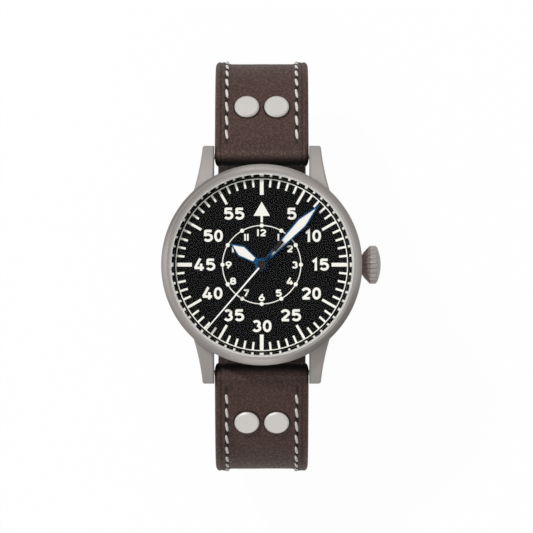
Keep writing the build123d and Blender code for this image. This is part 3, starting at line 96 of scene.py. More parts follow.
fold_corner_length = 0.95
buckle_bar_hole = 0.79
buckle_fold_return = 3.0
tongue_slot_half = 1.15
tongue_slot_bevel = 0.3
hole_length = 3.2
hole_width = 2.2
hole_pitch = 6.5
hole_count = 7
tongue_hole_pull = 1.6
tongue_y = 1.4
holes_past_tongue = 2
fold_steps = 20
bend_steps = 60
run_steps = 40
tip_steps = 12

# Strap finish
face_insets = [
    0.0, 0.06, 0.18, 0.36, 0.62, 0.95, 1.1, 1.2, 1.3, 1.4, 1.5, 1.75, 2.05, 2.22, 2.36, 2.5, 2.64, 2.78,
    2.95, 3.3, 3.9, 4.9, 6.3, 8.0,
]
edge_round = 0.8
edge_drop_share = 1.6
crease_inset = 1.3
crease_depth = 0.13
crease_width = 0.15
seam_inset = 2.5
seam_depth = 0.2
seam_width = 0.26
seam_run_in = 0.8
seam_lead = 0.2
middle_sink = 0.42
middle_sink_start = 6.0
middle_sink_run_in = 9.0
middle_sink_lead = 0.4
middle_sink_width = 1.3
skin_wrinkle = 0.04
back_wrinkle = 0.02
wrinkle_scale = 0.35
back_round = 0.3
back_trim = 0.08
back_bevel = 0.1
back_seam_start = 1.0
thinnest_wall = 0.12
first_stitch_along = 4.35
lower_stitch_delay = 1.0
first_inner_stitch_along = 2.5
last_stitch_gap = 1.6
buckle_stitch_gap = 2.0
stitch_length = 2.75
stitch_width = 0.62
stitch_height = 0.34
stitch_pitch = 3.45
stitch_slant = math.radians(-8)
stitch_slant_spread = 0.35
stitch_seat_share = 0.55
stitch_end_sink_share = 0.55
stitch_roundness = 1.6
needle_hole_length = 1.25
needle_hole_width = 0.42

# Keepers
keeper_wall = 1.2
keeper_corner = 1.4
keeper_corner_steps = 8
keeper_insets = [0.0, 0.05, 0.15, 0.3, 0.62, 0.78, 0.94, 1.3]
keeper_round = 0.3
keeper_crease_inset = 0.78
keeper_crease_depth = 0.07
keeper_crease_width = 0.1
keeper_back_bevel = 0.12

# Dial, in millimetres
dial_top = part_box("dial")[1].z / MM
print_height = 0.03
stroke_steps = 5
stroke_step = 0.002
track_radius = 17.95
track_line = 0.2
tick_outer = 17.9
tick_length = 1.65
tick_width = 0.45
long_tick_length = 3.3
long_tick_width = 0.54
quarter_tick_width = 0.79
hour_circle_radius = 8.2
hour_circle_line = 0.2
hour_dot_radius = 0.43
arrow_apex = 13.2
arrow_base = 10.2
arrow_half_width = 1.72
arrow_stem_width = 0.5
arrow_stem_end = 8.85
arrow_stem_overlap = 0.1
stroke_end_share = 0.13
minute_numerals = {
    5: (6.25, 10.66), 10: (10.72, 6.03), 15: (12.28, 0.02), 20: (10.33, -6.02), 25: (6.07, -10.57),
    30: (0.0, -12.83), 35: (-5.84, -10.57), 40: (-10.3, -5.97), 45: (-11.9, 0.02), 50: (-10.17, 6.05),
    55: (-5.8, 10.67),
}
hour_numerals = {
    1: (3.49, 5.74), 2: (5.86, 3.33), 3: (6.91, -0.05), 4: (5.89, -3.43), 5: (3.53, -5.93),
    6: (0.0, -6.88), 7: (-3.22, -5.88), 8: (-6.0, -3.43), 9: (-6.93, -0.02), 10: (-5.33, 3.3),
    11: (-3.2, 5.74), 12: (-0.01, 6.69),
}
minute_style = {"height": 2.54, "width": 2.02, "stroke": 0.53, "gap": 0.27, "flag": True}
hour_style = {"height": 1.5, "width": 1.33, "stroke": 0.36, "gap": 0.22, "flag": False}

# Where the finishes and the painted light and shade change, in millimetres
bezel_outside_radius = 19.74
bezel_lip_radius = 19.2
# Where the painted shadow at the foot of the bezel's slope ends, reaching further out on the upper left
bezel_foot_radius = 18.27
bezel_foot_shift = 0.13
# Where the crown's painted reflection, lighter and browner on its cone next to the case, gives way to its
# darker rim
crown_rim_x = 22.1
crown_cone_x = 22.8
arbor_end_z = 9.1
hub_radius = 2.0
seconds_blade_start = 0.86
seconds_blade_turn = math.radians(-130.6)
rivet_radius = 2.6
rivet_spacing = 6.3
rivet_shade_width = 0.55
seam_line_x = 7.45
seam_start_y = 25.2
seam_start_depth = 5.0
shoulder_y = 23.6
upper_part_z = -4.0
upper_part_blend = 2.0
fold_shade_y = (24.0, 29.5)

# Camera and stage
camera_distance = 900.0
photo_width_px = 533
pixels_per_mm = 4.8
sensor_mm = 36.0
centre_right_px = 4.8
centre_up_px = 1.8
floor_size = 6.0
floor_gap = 0.00005
white_floor_share = 0.97


# Materials


def maths(operation, swapped=False):
    """A method that adds a Math node for an operation on a value and another one."""

    def apply(self, other=0.0):
        first, second = (other, self) if swapped else (self, other)
        return self.nodes.node("Math", {0: first, 1: second}, operation=operation)

    return apply


class Value:
    """A node's output, with the arithmetic that the finishes use."""

    def __init__(self, nodes, socket):
        self.nodes = nodes
        self.socket = socket

    __add__ = __radd__ = maths("ADD")
    __sub__ = maths("SUBTRACT")
    __rsub__ = maths("SUBTRACT", swapped=True)
    __mul__ = __rmul__ = maths("MULTIPLY")
    __truediv__ = maths("DIVIDE")
    __pow__ = maths("POWER")
    least = maths("MINIMUM")
    size = maths("ABSOLUTE")


class Nodes:
    """A node tree that ends in an output, as the world and the finishes have."""

    def __init__(self, owner, output):
        owner.use_nodes = True
        self.tree = owner.node_tree
        self.tree.nodes.clear()
        self.output = self.tree.nodes.new(output)

    def feed(self, socket, value):
        """A link or a plain value into a socket."""
        if isinstance(value, Value):
            self.tree.links.new(value.socket, socket)
        elif isinstance(value, tuple) and len(value) == 3 and socket.type == "RGBA":
            socket.default_value = (*value, 1)
        else:
            socket.default_value = value

    def node(self, kind, inputs=None, output=0, **settings):
        made = self.tree.nodes.new(f"ShaderNode{kind}")
        for name, setting in settings.items():
            setattr(made, name, setting)
        for name, value in (inputs or {}).items():
            self.feed(made.inputs[name], value)
        return Value(self, made.outputs[output])

    def show(self, shader):
        self.tree.links.new(shader.socket, self.output.inputs[0])

    def mixed(self, share, first, second):
        return self.node("MixShader", {0: share, 1: first, 2: second})

    def seen(self):
        """1 where a surface is seen, straight or in metal and glass, and 0 where it only sheds light."""
        kinds = ("Is Camera Ray", "Is Glossy Ray", "Is Transmission Ray")
        camera, glossy, transmission = (self.node("LightPath", output=kind) for kind in kinds)
        return (camera + glossy + transmission).least(1.0)


class Finish(Nodes):
    """A material with one main shader, made from nodes."""

    def __init__(self, name):
        self.material = bpy.data.materials.new(name)
        super().__init__(self.material, "ShaderNodeOutputMaterial")
        self.shader = self.tree.nodes.new("ShaderNodeBsdfPrincipled")
        self.show(Value(self, self.shader.outputs[0]))
        self.at = self.place()

    def place(self, stretch=(1, 1, 1)):
        """The point on the piece in millimetres, stretched along its axes."""
        point = self.node("TexCoord", output="Object")
        scale = tuple(share / MM for share in stretch)
        return self.node("VectorMath", {0: point, 1: scale}, operation="MULTIPLY")

    def noise(self, scale, detail=2.0, roughness=0.5, at=None, output=0):
        inputs = {"Vector": at or self.at, "Scale": scale, "Detail": detail, "Roughness": roughness}
        return self.node("TexNoise", inputs, output)

    def bands(self, scale, distortion, direction, profile="SIN"):
        inputs = {"Vector": self.at, "Scale": scale, "Distortion": distortion}
        return self.node("TexWave", inputs, "Fac", bands_direction=direction, wave_profile=profile)

    def axis(self, name):
        return self.node("SeparateXYZ", {0: self.at}, name)

    def radius(self):
        """The distance from the dial's centre line, in millimetres."""
        return (self.axis("X") ** 2 + self.axis("Y") ** 2) ** 0.5

    def step(self, value, low, high):
        """0 below low, 1 above high, and smooth between them."""
        inputs = {"Value": value, "From Min": low, "From Max": high}
        return self.node("MapRange", inputs, interpolation_type="SMOOTHSTEP")

    def mix(self, factor, first, second):
        return self.node("Mix", {0: factor, 6: first, 7: second}, 2, data_type="RGBA")

    def with_relief(self, height, depth_mm, strength=0.4):
        """Adds the relief, which is a finish's last step, and gives its material."""
        inputs = {"Height": height, "Distance": depth_mm * MM, "Strength": strength}
        self.set(Normal=self.node("Bump", inputs))
        return self.material

    def set(self, **sockets):
        for name, value in sockets.items():
            self.feed(self.shader.inputs[name.replace("_", " ")], value)


def shade(colour, share):
    return tuple(min(1.0, part * share) for part in colour)


def grained(name, scale, detail, dark, light, roughness, spread, depth, specular=0.5):
    """A matt finish whose colour, roughness and relief follow one fine grain."""
    finish = Finish(name)
    grain = finish.noise(scale, detail)
    finish.set(
        Base_Color=finish.mix(grain, dark, light),
        Roughness=roughness + grain * spread,
        Specular_IOR_Level=specular,
    )
    return finish.with_relief(grain, depth)


def blasted_grain(finish):
    return finish.noise(11.0, 3.0, 0.7)


def clouds_and_grain(finish, grain):
    """Faint clouds and a fine grain in even shares."""
    return finish.noise(0.22, 3.0) * 0.5 + grain * 0.5


def blasted(finish, tone, grain, roughness):
    """The dull sheen and fine relief of bead-blasted steel, in a given tone."""
    finish.set(Base_Color=tone, Metallic=0.6, Roughness=roughness + (grain - 0.5) * 0.16)
    return finish.with_relief(grain, 0.012, 0.7)


def blasted_steel(name, colour, roughness):
    """Bead-blasted steel: a fine, even grain with faint clouds."""
    finish = Finish(name)
    grain = blasted_grain(finish)
    tone = finish.mix(clouds_and_grain(finish, grain), shade(colour, 0.95), shade(colour, 1.05))
    return blasted(finish, tone, grain, roughness)


def shaded_steel(name, axis, low, high, first, second, roughness):
    """Blasted steel that goes from one tone to another along an axis, as painted light and shade."""
    finish = Finish(name)
    grain = blasted_grain(finish)
    tone = finish.mix(finish.step(finish.axis(axis), low, high), first, second)
    return blasted(finish, finish.mix(grain * 0.14, tone, (0.02, 0.02, 0.02)), grain, roughness)


def bezel_finish():
    """The bezel: blasted outside, satin on its inner bevel and polished on the slope above the dial, with
    painted light and shade on each.
    """
    finish = Finish("bezel")
    radius = finish.radius()
    grain = blasted_grain(finish)
    outside = finish.step(radius, bezel_outside_radius, bezel_outside_radius + 0.1)
    lip = finish.step(radius, bezel_lip_radius, bezel_lip_radius + 0.12)
    across = finish.axis("X") / radius
    along = finish.axis("Y") / radius
    away = along - across
    # Painted shade: the blasted outside darker on the upper left and lower right diagonals.
    diagonal_shade = finish.step(away.size(), 1.08, 1.4) * outside
    # Painted light: the blasted outside lighter near the four quarter points, most at 6 o'clock.
    cardinal = 1 - finish.step(across.size() * along.size(), 0.04, 0.5)
    pale = cardinal * (0.85 - finish.step(along, -0.95, -0.2) * 0.5)
    grey = finish.mix(clouds_and_grain(finish, grain), (0.225, 0.208, 0.196), (0.255, 0.236, 0.223))
    face = finish.mix(pale, grey, (0.41, 0.382, 0.362))
    # Painted shade: the inner bevel darker on its lower right.
    bevel = finish.mix(finish.step(away, -1.4, -0.5), (0.24, 0.226, 0.216), (0.37, 0.35, 0.335))
    # Painted shadow: the polished slope black below its foot, in a band widest on the upper left.
    foot = finish.step(radius - away * bezel_foot_shift, bezel_foot_radius, bezel_foot_radius + 0.06)
    slope = finish.mix(foot, (0.004, 0.004, 0.004), (0.80, 0.79, 0.77))
    tone = finish.mix(outside, finish.mix(lip, slope, bevel), face)
    finish.set(
        Base_Color=finish.mix(diagonal_shade * 0.36, tone, (0.02, 0.018, 0.017)),
        Metallic=1.0 - lip * 0.3,
        Roughness=0.03 + lip * (0.54 + grain * 0.12),
    )
    return finish.with_relief(grain * lip, 0.012, 0.7)


def polished_steel(name, colour, roughness=0.2):
    """Machined steel with faint turning marks."""
    finish = Finish(name)
    marks = finish.noise(3.0, 3.0, at=finish.place((1, 1, 9)))
    finish.set(
        Base_Color=finish.mix(marks, shade(colour, 0.9), shade(colour, 1.08)),
        Metallic=1.0,
        Roughness=roughness + finish.noise(6.0) * 0.14,
    )
    return finish.with_relief(marks, 0.004, 0.5)


def striped_plate():
    """Nickel-plated bridges and plate, with the broad stripes of a finished movement."""
    finish = Finish("movement_plate")
    stripes = finish.bands(0.16, 0.3, "X", "SAW")
    scratches = finish.noise(2.0, at=finish.place((1, 14, 1)))
    finish.set(
        Base_Color=finish.mix(stripes, (0.56, 0.54, 0.49), (0.68, 0.66, 0.61)),
        Metallic=1.0,
        Roughness=0.2 + stripes * 0.12 + scratches * 0.08,
    )
    return finish.with_relief(stripes * 0.6 + scratches * 0.4, 0.01, 0.6)


def gilt_brass():
    """Gilt wheels with a fine grain. The one arbor that reaches through the hands ends dark."""
    finish = Finish("wheel_brass")
    grain = finish.noise(8.0, 3.0)
    arbor_end = finish.step(finish.axis("Z"), arbor_end_z, arbor_end_z + 0.2)
    gilt = finish.mix(grain, (0.66, 0.48, 0.20), (0.78, 0.60, 0.30))
    finish.set(
        Base_Color=finish.mix(arbor_end, gilt, (0.014, 0.011, 0.010)),
        Metallic=1.0,
        Roughness=0.22 + grain * 0.12 + arbor_end * 0.3,
    )
    return finish.with_relief(grain, 0.004)


def blued_steel():
    """Heat-blued steel in patches, with painted shade that makes it nearly black at the hub on the side away
    from the light.
    """
    finish = Finish("hand_blue")
    shaded = finish.step(finish.axis("X") * 0.72 - finish.axis("Y") * 0.69, -0.6, 0.1)
    past_hub = finish.step(finish.radius(), hub_radius, hub_radius + 0.8)
    blue = finish.mix(finish.noise(0.5), (0.007, 0.055, 0.15), (0.012, 0.092, 0.23))
    finish.set(
        Base_Color=finish.mix(shaded * (1 - past_hub * 0.9), blue, (0.003, 0.012, 0.03)),
        Metallic=1.0,
        Roughness=0.16 + finish.noise(9.0) * 0.1,
    )
    return finish.with_relief(finish.noise(18.0), 0.002)


def luminous():
    """Cream luminous paint with a fine, slightly uneven surface."""
    finish = Finish("lume")
    grain = finish.noise(16.0, 3.0)
    pools = finish.noise(1.6)
    cream = (0.94, 0.915, 0.845)
    finish.set(
        Base_Color=finish.mix(pools * 0.6 + grain * 0.4, shade(cream, 0.95), cream),
        Roughness=0.75 + grain * 0.15,
        Specular_IOR_Level=0.2,
    )
    return finish.with_relief(grain * 0.6 + pools * 0.4, 0.012, 0.6)


def seconds_hand_finish():
    """The seconds hand: white along its blade, dark at the hub and the counterweight."""
    finish = Finish("seconds_hand")
    turn = seconds_blade_turn
    along = finish.axis("X") * math.cos(turn) + finish.axis("Y") * math.sin(turn)
    blade = finish.step(along, seconds_blade_start, seconds_blade_start + 0.08)
    grain = finish.noise(12.0)
    finish.set(
        Base_Color=finish.mix(blade, (0.012, 0.008, 0.0075), (0.92, 0.91, 0.87)),
        Roughness=0.5 + blade * 0.2 + grain * 0.1,
        Specular_IOR_Level=0.12,
    )
    return finish.with_relief(grain, 0.003)


def crystal_glass():
    """Clear coated sapphire that mostly shows what is under it."""
    finish = Finish("crystal")
    coating = 0.58 + finish.noise(0.1) * 0.04
    gloss = finish.node("BsdfGlossy", {"Color": (0.925, 0.94, 1.0), "Roughness": 0.02})
    clear = finish.node("BsdfTransparent", {"Color": (0.997, 0.998, 0.997)})
    fresnel = finish.node("Fresnel", {"IOR": 1.25})
    outside = 1 - finish.node("NewGeometry", output="Backfacing")
    finish.tree.nodes.remove(finish.shader)
    finish.show(finish.mixed(fresnel * outside * coating, clear, gloss))
    return finish.material


def ruby():
    finish = Finish("ruby")
    veins = finish.noise(3.0)
    finish.set(
        Base_Color=finish.mix(veins, (0.42, 0.012, 0.06), (0.62, 0.04, 0.12)),
        Roughness=0.08 + veins * 0.05,
        Coat_Weight=0.6,
    )
    return finish.material


def rivet_distance(finish):
    """How far a point of the strap lies from the middle of the nearest rivet, in millimetres."""
    low, high = (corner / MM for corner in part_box("rivets_12"))
    beside = finish.axis("X").size() - rivet_spacing / 2
    beyond = finish.axis("Y").size() - (low.y + high.y) / 2
    above = finish.axis("Z") - (low.z + high.z) / 2
    return (beside**2 + beyond**2 + above**2) ** 0.5


def pressed_lines(finish):
    """Where shade is painted: 1 in the groove along the stitches, which starts by the first one, and less in
    the edge crease.
    """
    inward = finish.axis("X").size()
    groove = 1 - finish.step((inward - seam_line_x).size(), 0.12, 0.5)
    started = finish.step(finish.axis("Y").size(), seam_start_y, seam_start_y + 0.6)
    lower = finish.step(finish.axis("Z") * -1, seam_start_depth, seam_start_depth + 1.0)
    crease = 1 - finish.step((inward - strap_half_width + crease_inset).size(), 0.06, 0.34)
    return groove * (started + lower).least(1.0) + crease * 0.45


def grained_leather(finish, tops, fine, dark, light):
    """The leather's colour by its pebbles, specks and patches, with painted shade that makes it a little
    darker near the fold.
    """
    specks = finish.step(fine, 0.42, 0.6)
    patches = finish.noise(0.12, 3.0)
    near_fold = 1 - finish.step(finish.axis("Y").size(), *fold_shade_y)
    return finish.mix((tops * 0.25 + patches * 0.2 + specks * 0.55) * (1 - near_fold * 0.2), dark, light)


def leather(name, dark, light, pebble=2.3, depth=0.08, roughness=0.42, seam=0.0):
    """Grained leather: small pebbles between fine creases, with painted shade in the seam groove and edge
    crease, round the rivets and over the fold.
    """
    finish = Finish(name)
    swirl = finish.noise(0.9, 3.0, output=1)
    warp = finish.node("Mix", {0: 0.22, 4: finish.at, 5: swirl}, 1, data_type="VECTOR")
    cells = {"Vector": warp, "Scale": pebble, "Smoothness": 0.35}
    pebbles = finish.node("TexVoronoi", cells, feature="SMOOTH_F1")
    tops = 1 - finish.step(pebbles, 0.12, 0.62)
    fine = finish.noise(6.5, 4.0, 0.65)
    creases = finish.step(finish.noise(1.2, 4.0, 0.7, finish.place((1.0, 0.5, 0.5))), 0.52, 0.6)
    away = finish.axis("Y").size()
    upper = finish.step(finish.axis("Z"), upper_part_z, upper_part_z + upper_part_blend)
    # Painted shade: a dark ring round each rivet and dark lines in the seam groove and edge crease.
    clear = finish.step(rivet_distance(finish), rivet_radius, rivet_radius + rivet_shade_width)
    open_face = clear * (1 - pressed_lines(finish) * seam)
    painted_shade_leather = finish.mix(open_face, shade(dark, 0.3), grained_leather(finish, tops, fine, dark, light))
    # Lighter, greyer flecks on the upper leather just past the spring bar.
    shoulder = (1 - finish.step((away - shoulder_y).size(), 0.2, 0.8)) * upper
    flecks = shoulder * finish.step(finish.noise(4.5, 3.0, 0.6), 0.56, 0.63)
    light_flecked = finish.mix(flecks * 0.55 * seam, painted_shade_leather, (0.30, 0.235, 0.215))
    # Painted shadow: the fold beside the bezel is nearly black.
    past_bar = finish.step(away + fine * 0.8, spring_bar_y - 0.8, spring_bar_y + 0.9)
    past_fold = 1 - (1 - past_bar) * upper
    finish.set(
        Base_Color=finish.mix(past_fold, shade(dark, 0.15), light_flecked),
        Roughness=roughness + (1 - tops) * 0.2 + fine * 0.1,
        Specular_IOR_Level=0.2,
    )
    return finish.with_relief(tops * 0.5 + fine * 0.35 + creases * 0.15, depth, 0.9)


def thread():
    """Waxed off-white thread, with the twist of its strands."""
    finish = Finish("thread")
    twist = finish.bands(1.0, 1.0, "DIAGONAL")
    fibres = finish.noise(9.0, 3.0)
    finish.set(
        Base_Color=finish.mix(twist * 0.6 + fibres * 0.4, (0.46, 0.44, 0.40), (0.78, 0.755, 0.705)),
        Roughness=0.8,
        Specular_IOR_Level=0.2,
    )
    return finish.with_relief(twist * 0.7 + fibres * 0.3, 0.05, 0.8)


brown_dark = (0.017, 0.007, 0.0053)
brown_light = (0.124, 0.07, 0.057)
finishes = {
    "case_steel": blasted_steel("case_steel", (0.303, 0.28, 0.264), 0.62),
    "bezel_steel": bezel_finish(),
    "crystal_glass": crystal_glass(),
    "seal_rubber": grained("seal_rubber", 9.0, 3.0, (0.015,) * 3, (0.035,) * 3, 0.6, 0.2, 0.015),
    # Painted reflection: the crown lighter and browner on its cone next to the case than on its rim.
    "crown_steel": shaded_steel(
        "crown_steel", "X", crown_rim_x, crown_cone_x, (0.50, 0.405, 0.38), (0.315, 0.288, 0.27), 0.5
    ),
    "dial_black": grained("dial_black", 20.0, 2.0, (0.0032,) * 3, (0.004,) * 3, 0.75, 0.2, 0.00125, 0.02),
    "hand_blue": blued_steel(),
    "lume": luminous(),
    "hand_white": seconds_hand_finish(),
    "movement_steel": polished_steel("movement_steel", (0.58, 0.58, 0.57)),
    "movement_plate": striped_plate(),
    "wheel_brass": gilt_brass(),
    "spring_steel": polished_steel("spring_steel", (0.40, 0.42, 0.46), 0.15),
    "ruby": ruby(),
    "strap_leather": leather("strap_leather", brown_dark, brown_light, seam=0.75),
    "keeper_leather": leather("keeper_leather", brown_dark, brown_light),
    "strap_lining": leather("strap_lining", (0.026, 0.015, 0.012), (0.05, 0.03, 0.025), 5.0, 0.02, 0.6),
    # Painted light and shade: the rivets at 6 o'clock lighter than those at 12 o'clock.
    "rivet_steel": shaded_steel("rivet_steel", "Y", -1, 1, (0.6, 0.572, 0.545), (0.505, 0.482, 0.458), 0.55),
    "buckle_steel": blasted_steel("buckle_steel", (0.42, 0.395, 0.377), 0.42),
    "thread": thread(),
    # Painted shade: near-black beads that stand for the shade inside the needle holes.
    "needle_hole_shade": leather("needle_hole_shade", (0.004, 0.003, 0.003), (0.010, 0.007, 0.006)),
    "nylon": grained("nylon", 5.0, 2.0, (0.50, 0.487, 0.462), (0.62, 0.607, 0.58), 0.35, 0.2, 0.004),
}


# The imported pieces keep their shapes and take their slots' finishes


def dress_packed_pieces():
    slots = {entry["node"]: entry["material_slot"] for entry in frame["record"]["subparts"]}
    for name, piece in frame["nodes"].items():
        piece.data.materials.clear()
        # The crystal's gasket is painted pale: a painted highlight for the bright ring at the crystal's
        # edge.
        piece.data.materials.append(finishes["nylon" if name == "crystal_gasket" else slots[name]])


# Modelling helpers


def clear_selection():
    bpy.ops.object.select_all(action="DESELECT")


def add(operator, **settings):
    """Adds an object, with nothing else selected."""
    clear_selection()
    operator(**settings)
    return bpy.context.active_object


def grid(name, columns, rows, place):
    """A grid primitive, each of whose vertices is moved to place(column, row), in millimetres."""
    piece = add(bpy.ops.mesh.primitive_grid_add, x_subdivisions=columns - 1, y_subdivisions=rows - 1, size=1)
    piece.name = name
    for vertex in piece.data.vertices:
        column = round((vertex.co.x + 0.5) * (columns - 1))
        row = round((vertex.co.y + 0.5) * (rows - 1))
        vertex.co = Vector(place(column, row)) * MM
    return piece


def choose(piece):
    clear_selection()
    piece.select_set(True)
    bpy.context.view_layer.objects.active = piece


def edit(piece, *steps):
    """Runs edit mode operators, each an (operator, settings) pair, on the whole of a piece."""
    choose(piece)
    bpy.ops.object.mode_set(mode="EDIT")
    bpy.ops.mesh.select_mode(type="VERT")
    bpy.ops.mesh.select_all(action="SELECT")
    for operator, settings in steps:
        operator(**settings)
    bpy.ops.object.mode_set(mode="OBJECT")


weld = (bpy.ops.mesh.remove_doubles, {"threshold": 1e-6})
select_all = (bpy.ops.mesh.select_all, {"action": "SELECT"})
face_outwards = (bpy.ops.mesh.normals_make_consistent, {"inside": False})


def modify(piece, kind, **settings):
    """Adds a modifier and applies it."""
    choose(piece)
    modifier = piece.modifiers.new(kind, kind)
    for name, setting in settings.items():
        setattr(modifier, name, setting)
    bpy.ops.object.modifier_apply(modifier=modifier.name)


def copy_at(piece, matrix):
    """A copy of a finished piece with its own mesh, moved by a matrix."""
    other = piece.copy()
    other.data = piece.data.copy()
    other.data.transform(matrix)
    bpy.context.scene.collection.objects.link(other)
    return other


def join(name, members):
    clear_selection()
    for member in members:
        member.select_set(True)
    bpy.context.view_layer.objects.active = members[0]
    bpy.ops.object.join()
    piece = bpy.context.active_object
    piece.name = name
    piece.data.name = name
    return piece


def remove(piece):
    bpy.data.objects.remove(piece, do_unlink=True)


def finished(piece, body, finish, angle=40.0):
    """Gives a piece its finish, slot, body and smooth shading."""
    choose(piece)
    bpy.ops.object.shade_smooth_by_angle(angle=math.radians(angle))
    piece.data.materials.clear()
    piece.data.materials.append(finishes[finish])
    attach(piece, body)
    return piece


def clamp(share):
    return min(1.0, max(0.0, share))


def dip(inset, middle, width):
    return math.exp(-(((inset - middle) / width) ** 2))


def edge_drop(inset, rounding):
    """How far a rounded edge lies below its face, at a distance from the edge."""
    if inset >= rounding:
        return 0.0
    return rounding - math.sqrt(max(0.0, rounding**2 - (rounding - inset) ** 2))


# Dial printing

stroke_turn = itertools.cycle(range(stroke_steps))


def flat_print(piece):
    """Gives flat printing its thickness, upwards from the dial."""
    rise = {"TRANSFORM_OT_translate": {"value": (0, 0, print_height * MM)}}
    edit(piece, face_outwards, (bpy.ops.mesh.extrude_region_move, rise), select_all, face_outwards)
    return piece


def ribbon(points, width, closed=False):
    """A flat stroke of one width along a line of points, mitred at its corners."""
    count = len(points)
    pairs = []
    for index, point in enumerate(points):
        here = Vector(point)
        ways = []
        if closed or index:
            ways.append((here - Vector(points[index - 1])).normalized())
        if closed or index < count - 1:
            ways.append((Vector(points[(index + 1) % count]) - here).normalized())
        middle = (ways[0] + ways[-1]).normalized()
        side = Vector((-middle.y, middle.x)) * (width / 2 / max(middle.dot(ways[0]), 0.5))
        pairs.append((here - side, here + side))
    if closed:
        pairs.append(pairs[0])
    height = dial_top + next(stroke_turn) * stroke_step
    return grid("stroke", len(pairs), 2, lambda column, row: (*pairs[column][row], height))


def arc(x, y, width, height, start, end):
    """Points along part of an ellipse of a given width and height about a middle point."""
    steps = max(4, int(abs(end - start) / 15))
    angles = [math.radians(start + (end - start) * k / steps) for k in range(steps + 1)]
    return [(x + width / 2 * math.cos(a), y + height / 2 * math.sin(a)) for a in angles]


def digit_lines(digit, flag):
    """The middle lines of a digit's strokes, in shares of the digit's width and height.

    Strokes that stop upright reach half a stroke further, as flat ends have no width of their own.
    """
    low = -stroke_end_share
    high = 1 + stroke_end_share
    six = [arc(0.5, 0.31, 0.98, 0.62, 90, 450), [(0.74, high), (0.06, 0.45)]]
    oval = arc(0.5, 0.56, 1.0, 0.88, 0, 180) + arc(0.5, 0.44, 1.0, 0.88, 180, 360) + [(1.0, 0.56)]
    bowl = arc(0.49, 0.315, 1.04, 0.63, 140, -150)
    lines = {
        "0": [oval],
        "1": [[(0.20, 0.78), (0.62, 1.04), (0.62, low)]] if flag else [[(0.5, high), (0.5, low)]],
        "2": [arc(0.5, 0.71, 0.96, 0.58, 165, -25) + [(0.03, 0.0)], [(0.0, 0.0), (1.03, 0.0)]],
        "3": [arc(0.46, 0.75, 0.84, 0.5, 150, -75), arc(0.48, 0.275, 0.96, 0.55, 80, -155)],
        "4": [[(0.62, high), (-0.06, 0.16)], [(-0.13, 0.16), (1.1, 0.16)], [(0.74, 0.6), (0.74, low)]],
        "5": [[(1.0, 1.0), (0.10, 1.0)], [(0.13, 1.06), (0.08, 0.47)], bowl],
        "6": six,
        "7": [[(-0.02, 1.0), (1.02, 1.0)], [(0.98, 1.04), (0.27, low)]],
        "8": [arc(0.5, 0.75, 0.82, 0.5, 90, 450), arc(0.5, 0.27, 0.98, 0.54, 90, 450)],
        "9": [[(1 - x, 1 - y) for x, y in line] for line in six],
    }
    return lines[digit]


def digit_share(digit, flag):
    """How much of a full digit's width a digit takes."""
    if digit == "1":
        return 0.5 if flag else 0.0
    return {"0": 0.86, "4": 1.06}.get(digit, 1.0)


def number(text, centre, height, width, stroke, gap, flag):
    """The strokes of a number, upright and centred on a point of the dial."""
    inner_height = height - stroke
    widths = [(width - stroke) * digit_share(digit, flag) for digit in text]
    total = sum(widths) + len(text) * stroke + (len(text) - 1) * gap
    left = centre[0] - total / 2 + stroke / 2
    low = centre[1] - inner_height / 2
    strokes = []
    for digit, inner_width in zip(text, widths):
        flagged = digit == "1" and flag
        span = width - stroke if flagged else inner_width
        start = left - (0.25 * span if flagged else 0)
        for line in digit_lines(digit, flag):
            points = [(start + x * span, low + y * inner_height) for x, y in line]
            closed = math.dist(points[0], points[-1]) < stroke / 9
            strokes.append(ribbon(points[:-1] if closed else points, stroke, closed))
        left += inner_width + stroke + gap
    return strokes


def numerals(name, places, style):
    numbers = [number(str(value), centre, **style) for value, centre in places.items()]
    return flat_print(join(name, sum(numbers, [])))


def minute_track():
    bars = []
    for minute in range(60):
        angle = math.radians(90 - 6 * minute)
        length = long_tick_length if minute % 5 == 0 else tick_length
        width = long_tick_width if minute % 5 == 0 else tick_width
        if minute % 15 == 0:
            width = quarter_tick_width
        ends = [(r * math.cos(angle), r * math.sin(angle)) for r in (tick_outer - length, tick_outer)]
        bars.append(ribbon(ends, width))
    return flat_print(join("minute_track", bars))


def printed_circle(name, radius, line):
    steps = 180
    angles = [2 * math.pi * k / steps for k in range(steps)]
    points = [(radius * math.cos(angle), radius * math.sin(angle)) for angle in angles]
    return flat_print(join(name, [ribbon(points, line, True)]))


def hour_dots():
    dots = []
    radius = hour_circle_radius
    for hour in range(12):
        angle = math.radians(30 * hour)
        middle = Vector((radius * math.cos(angle), radius * math.sin(angle), dial_top)) * MM
        circle = {"vertices": 24, "radius": hour_dot_radius * MM, "fill_type": "NGON", "location": middle}
        dots.append(add(bpy.ops.mesh.primitive_circle_add, **circle))
        bpy.ops.object.transform_apply(location=True)
    return flat_print(join("hour_dots", dots))


def twelve_arrow():
    """The pointer at 12 o'clock: a triangle on a short stem."""
    apex = (0, arrow_apex)
    corners = [apex, apex, (arrow_half_width, arrow_base), (-arrow_half_width, arrow_base)]
    triangle = grid("triangle", 2, 2, lambda column, row: (*corners[row * 2 + column], dial_top))
    edit(triangle, weld)
    stem = ribbon([(0, arrow_stem_end), (0, arrow_base + arrow_stem_overlap)], arrow_stem_width)
    return flat_print(join("twelve_arrow", [triangle, stem]))


def print_dial():
    for piece in (
        minute_track(),
        printed_circle("minute_circle", track_radius, track_line),
        printed_circle("hour_circle", hour_circle_radius, hour_circle_line),
        hour_dots(),
        twelve_arrow(),
        numerals("minute_numerals", minute_numerals, minute_style),
        numerals("hour_numerals", hour_numerals, hour_style),
    ):
        finished(piece, "case", "lume")


# Strap: the line of its visible face, as stations in the YZ plane of the 12 o'clock side

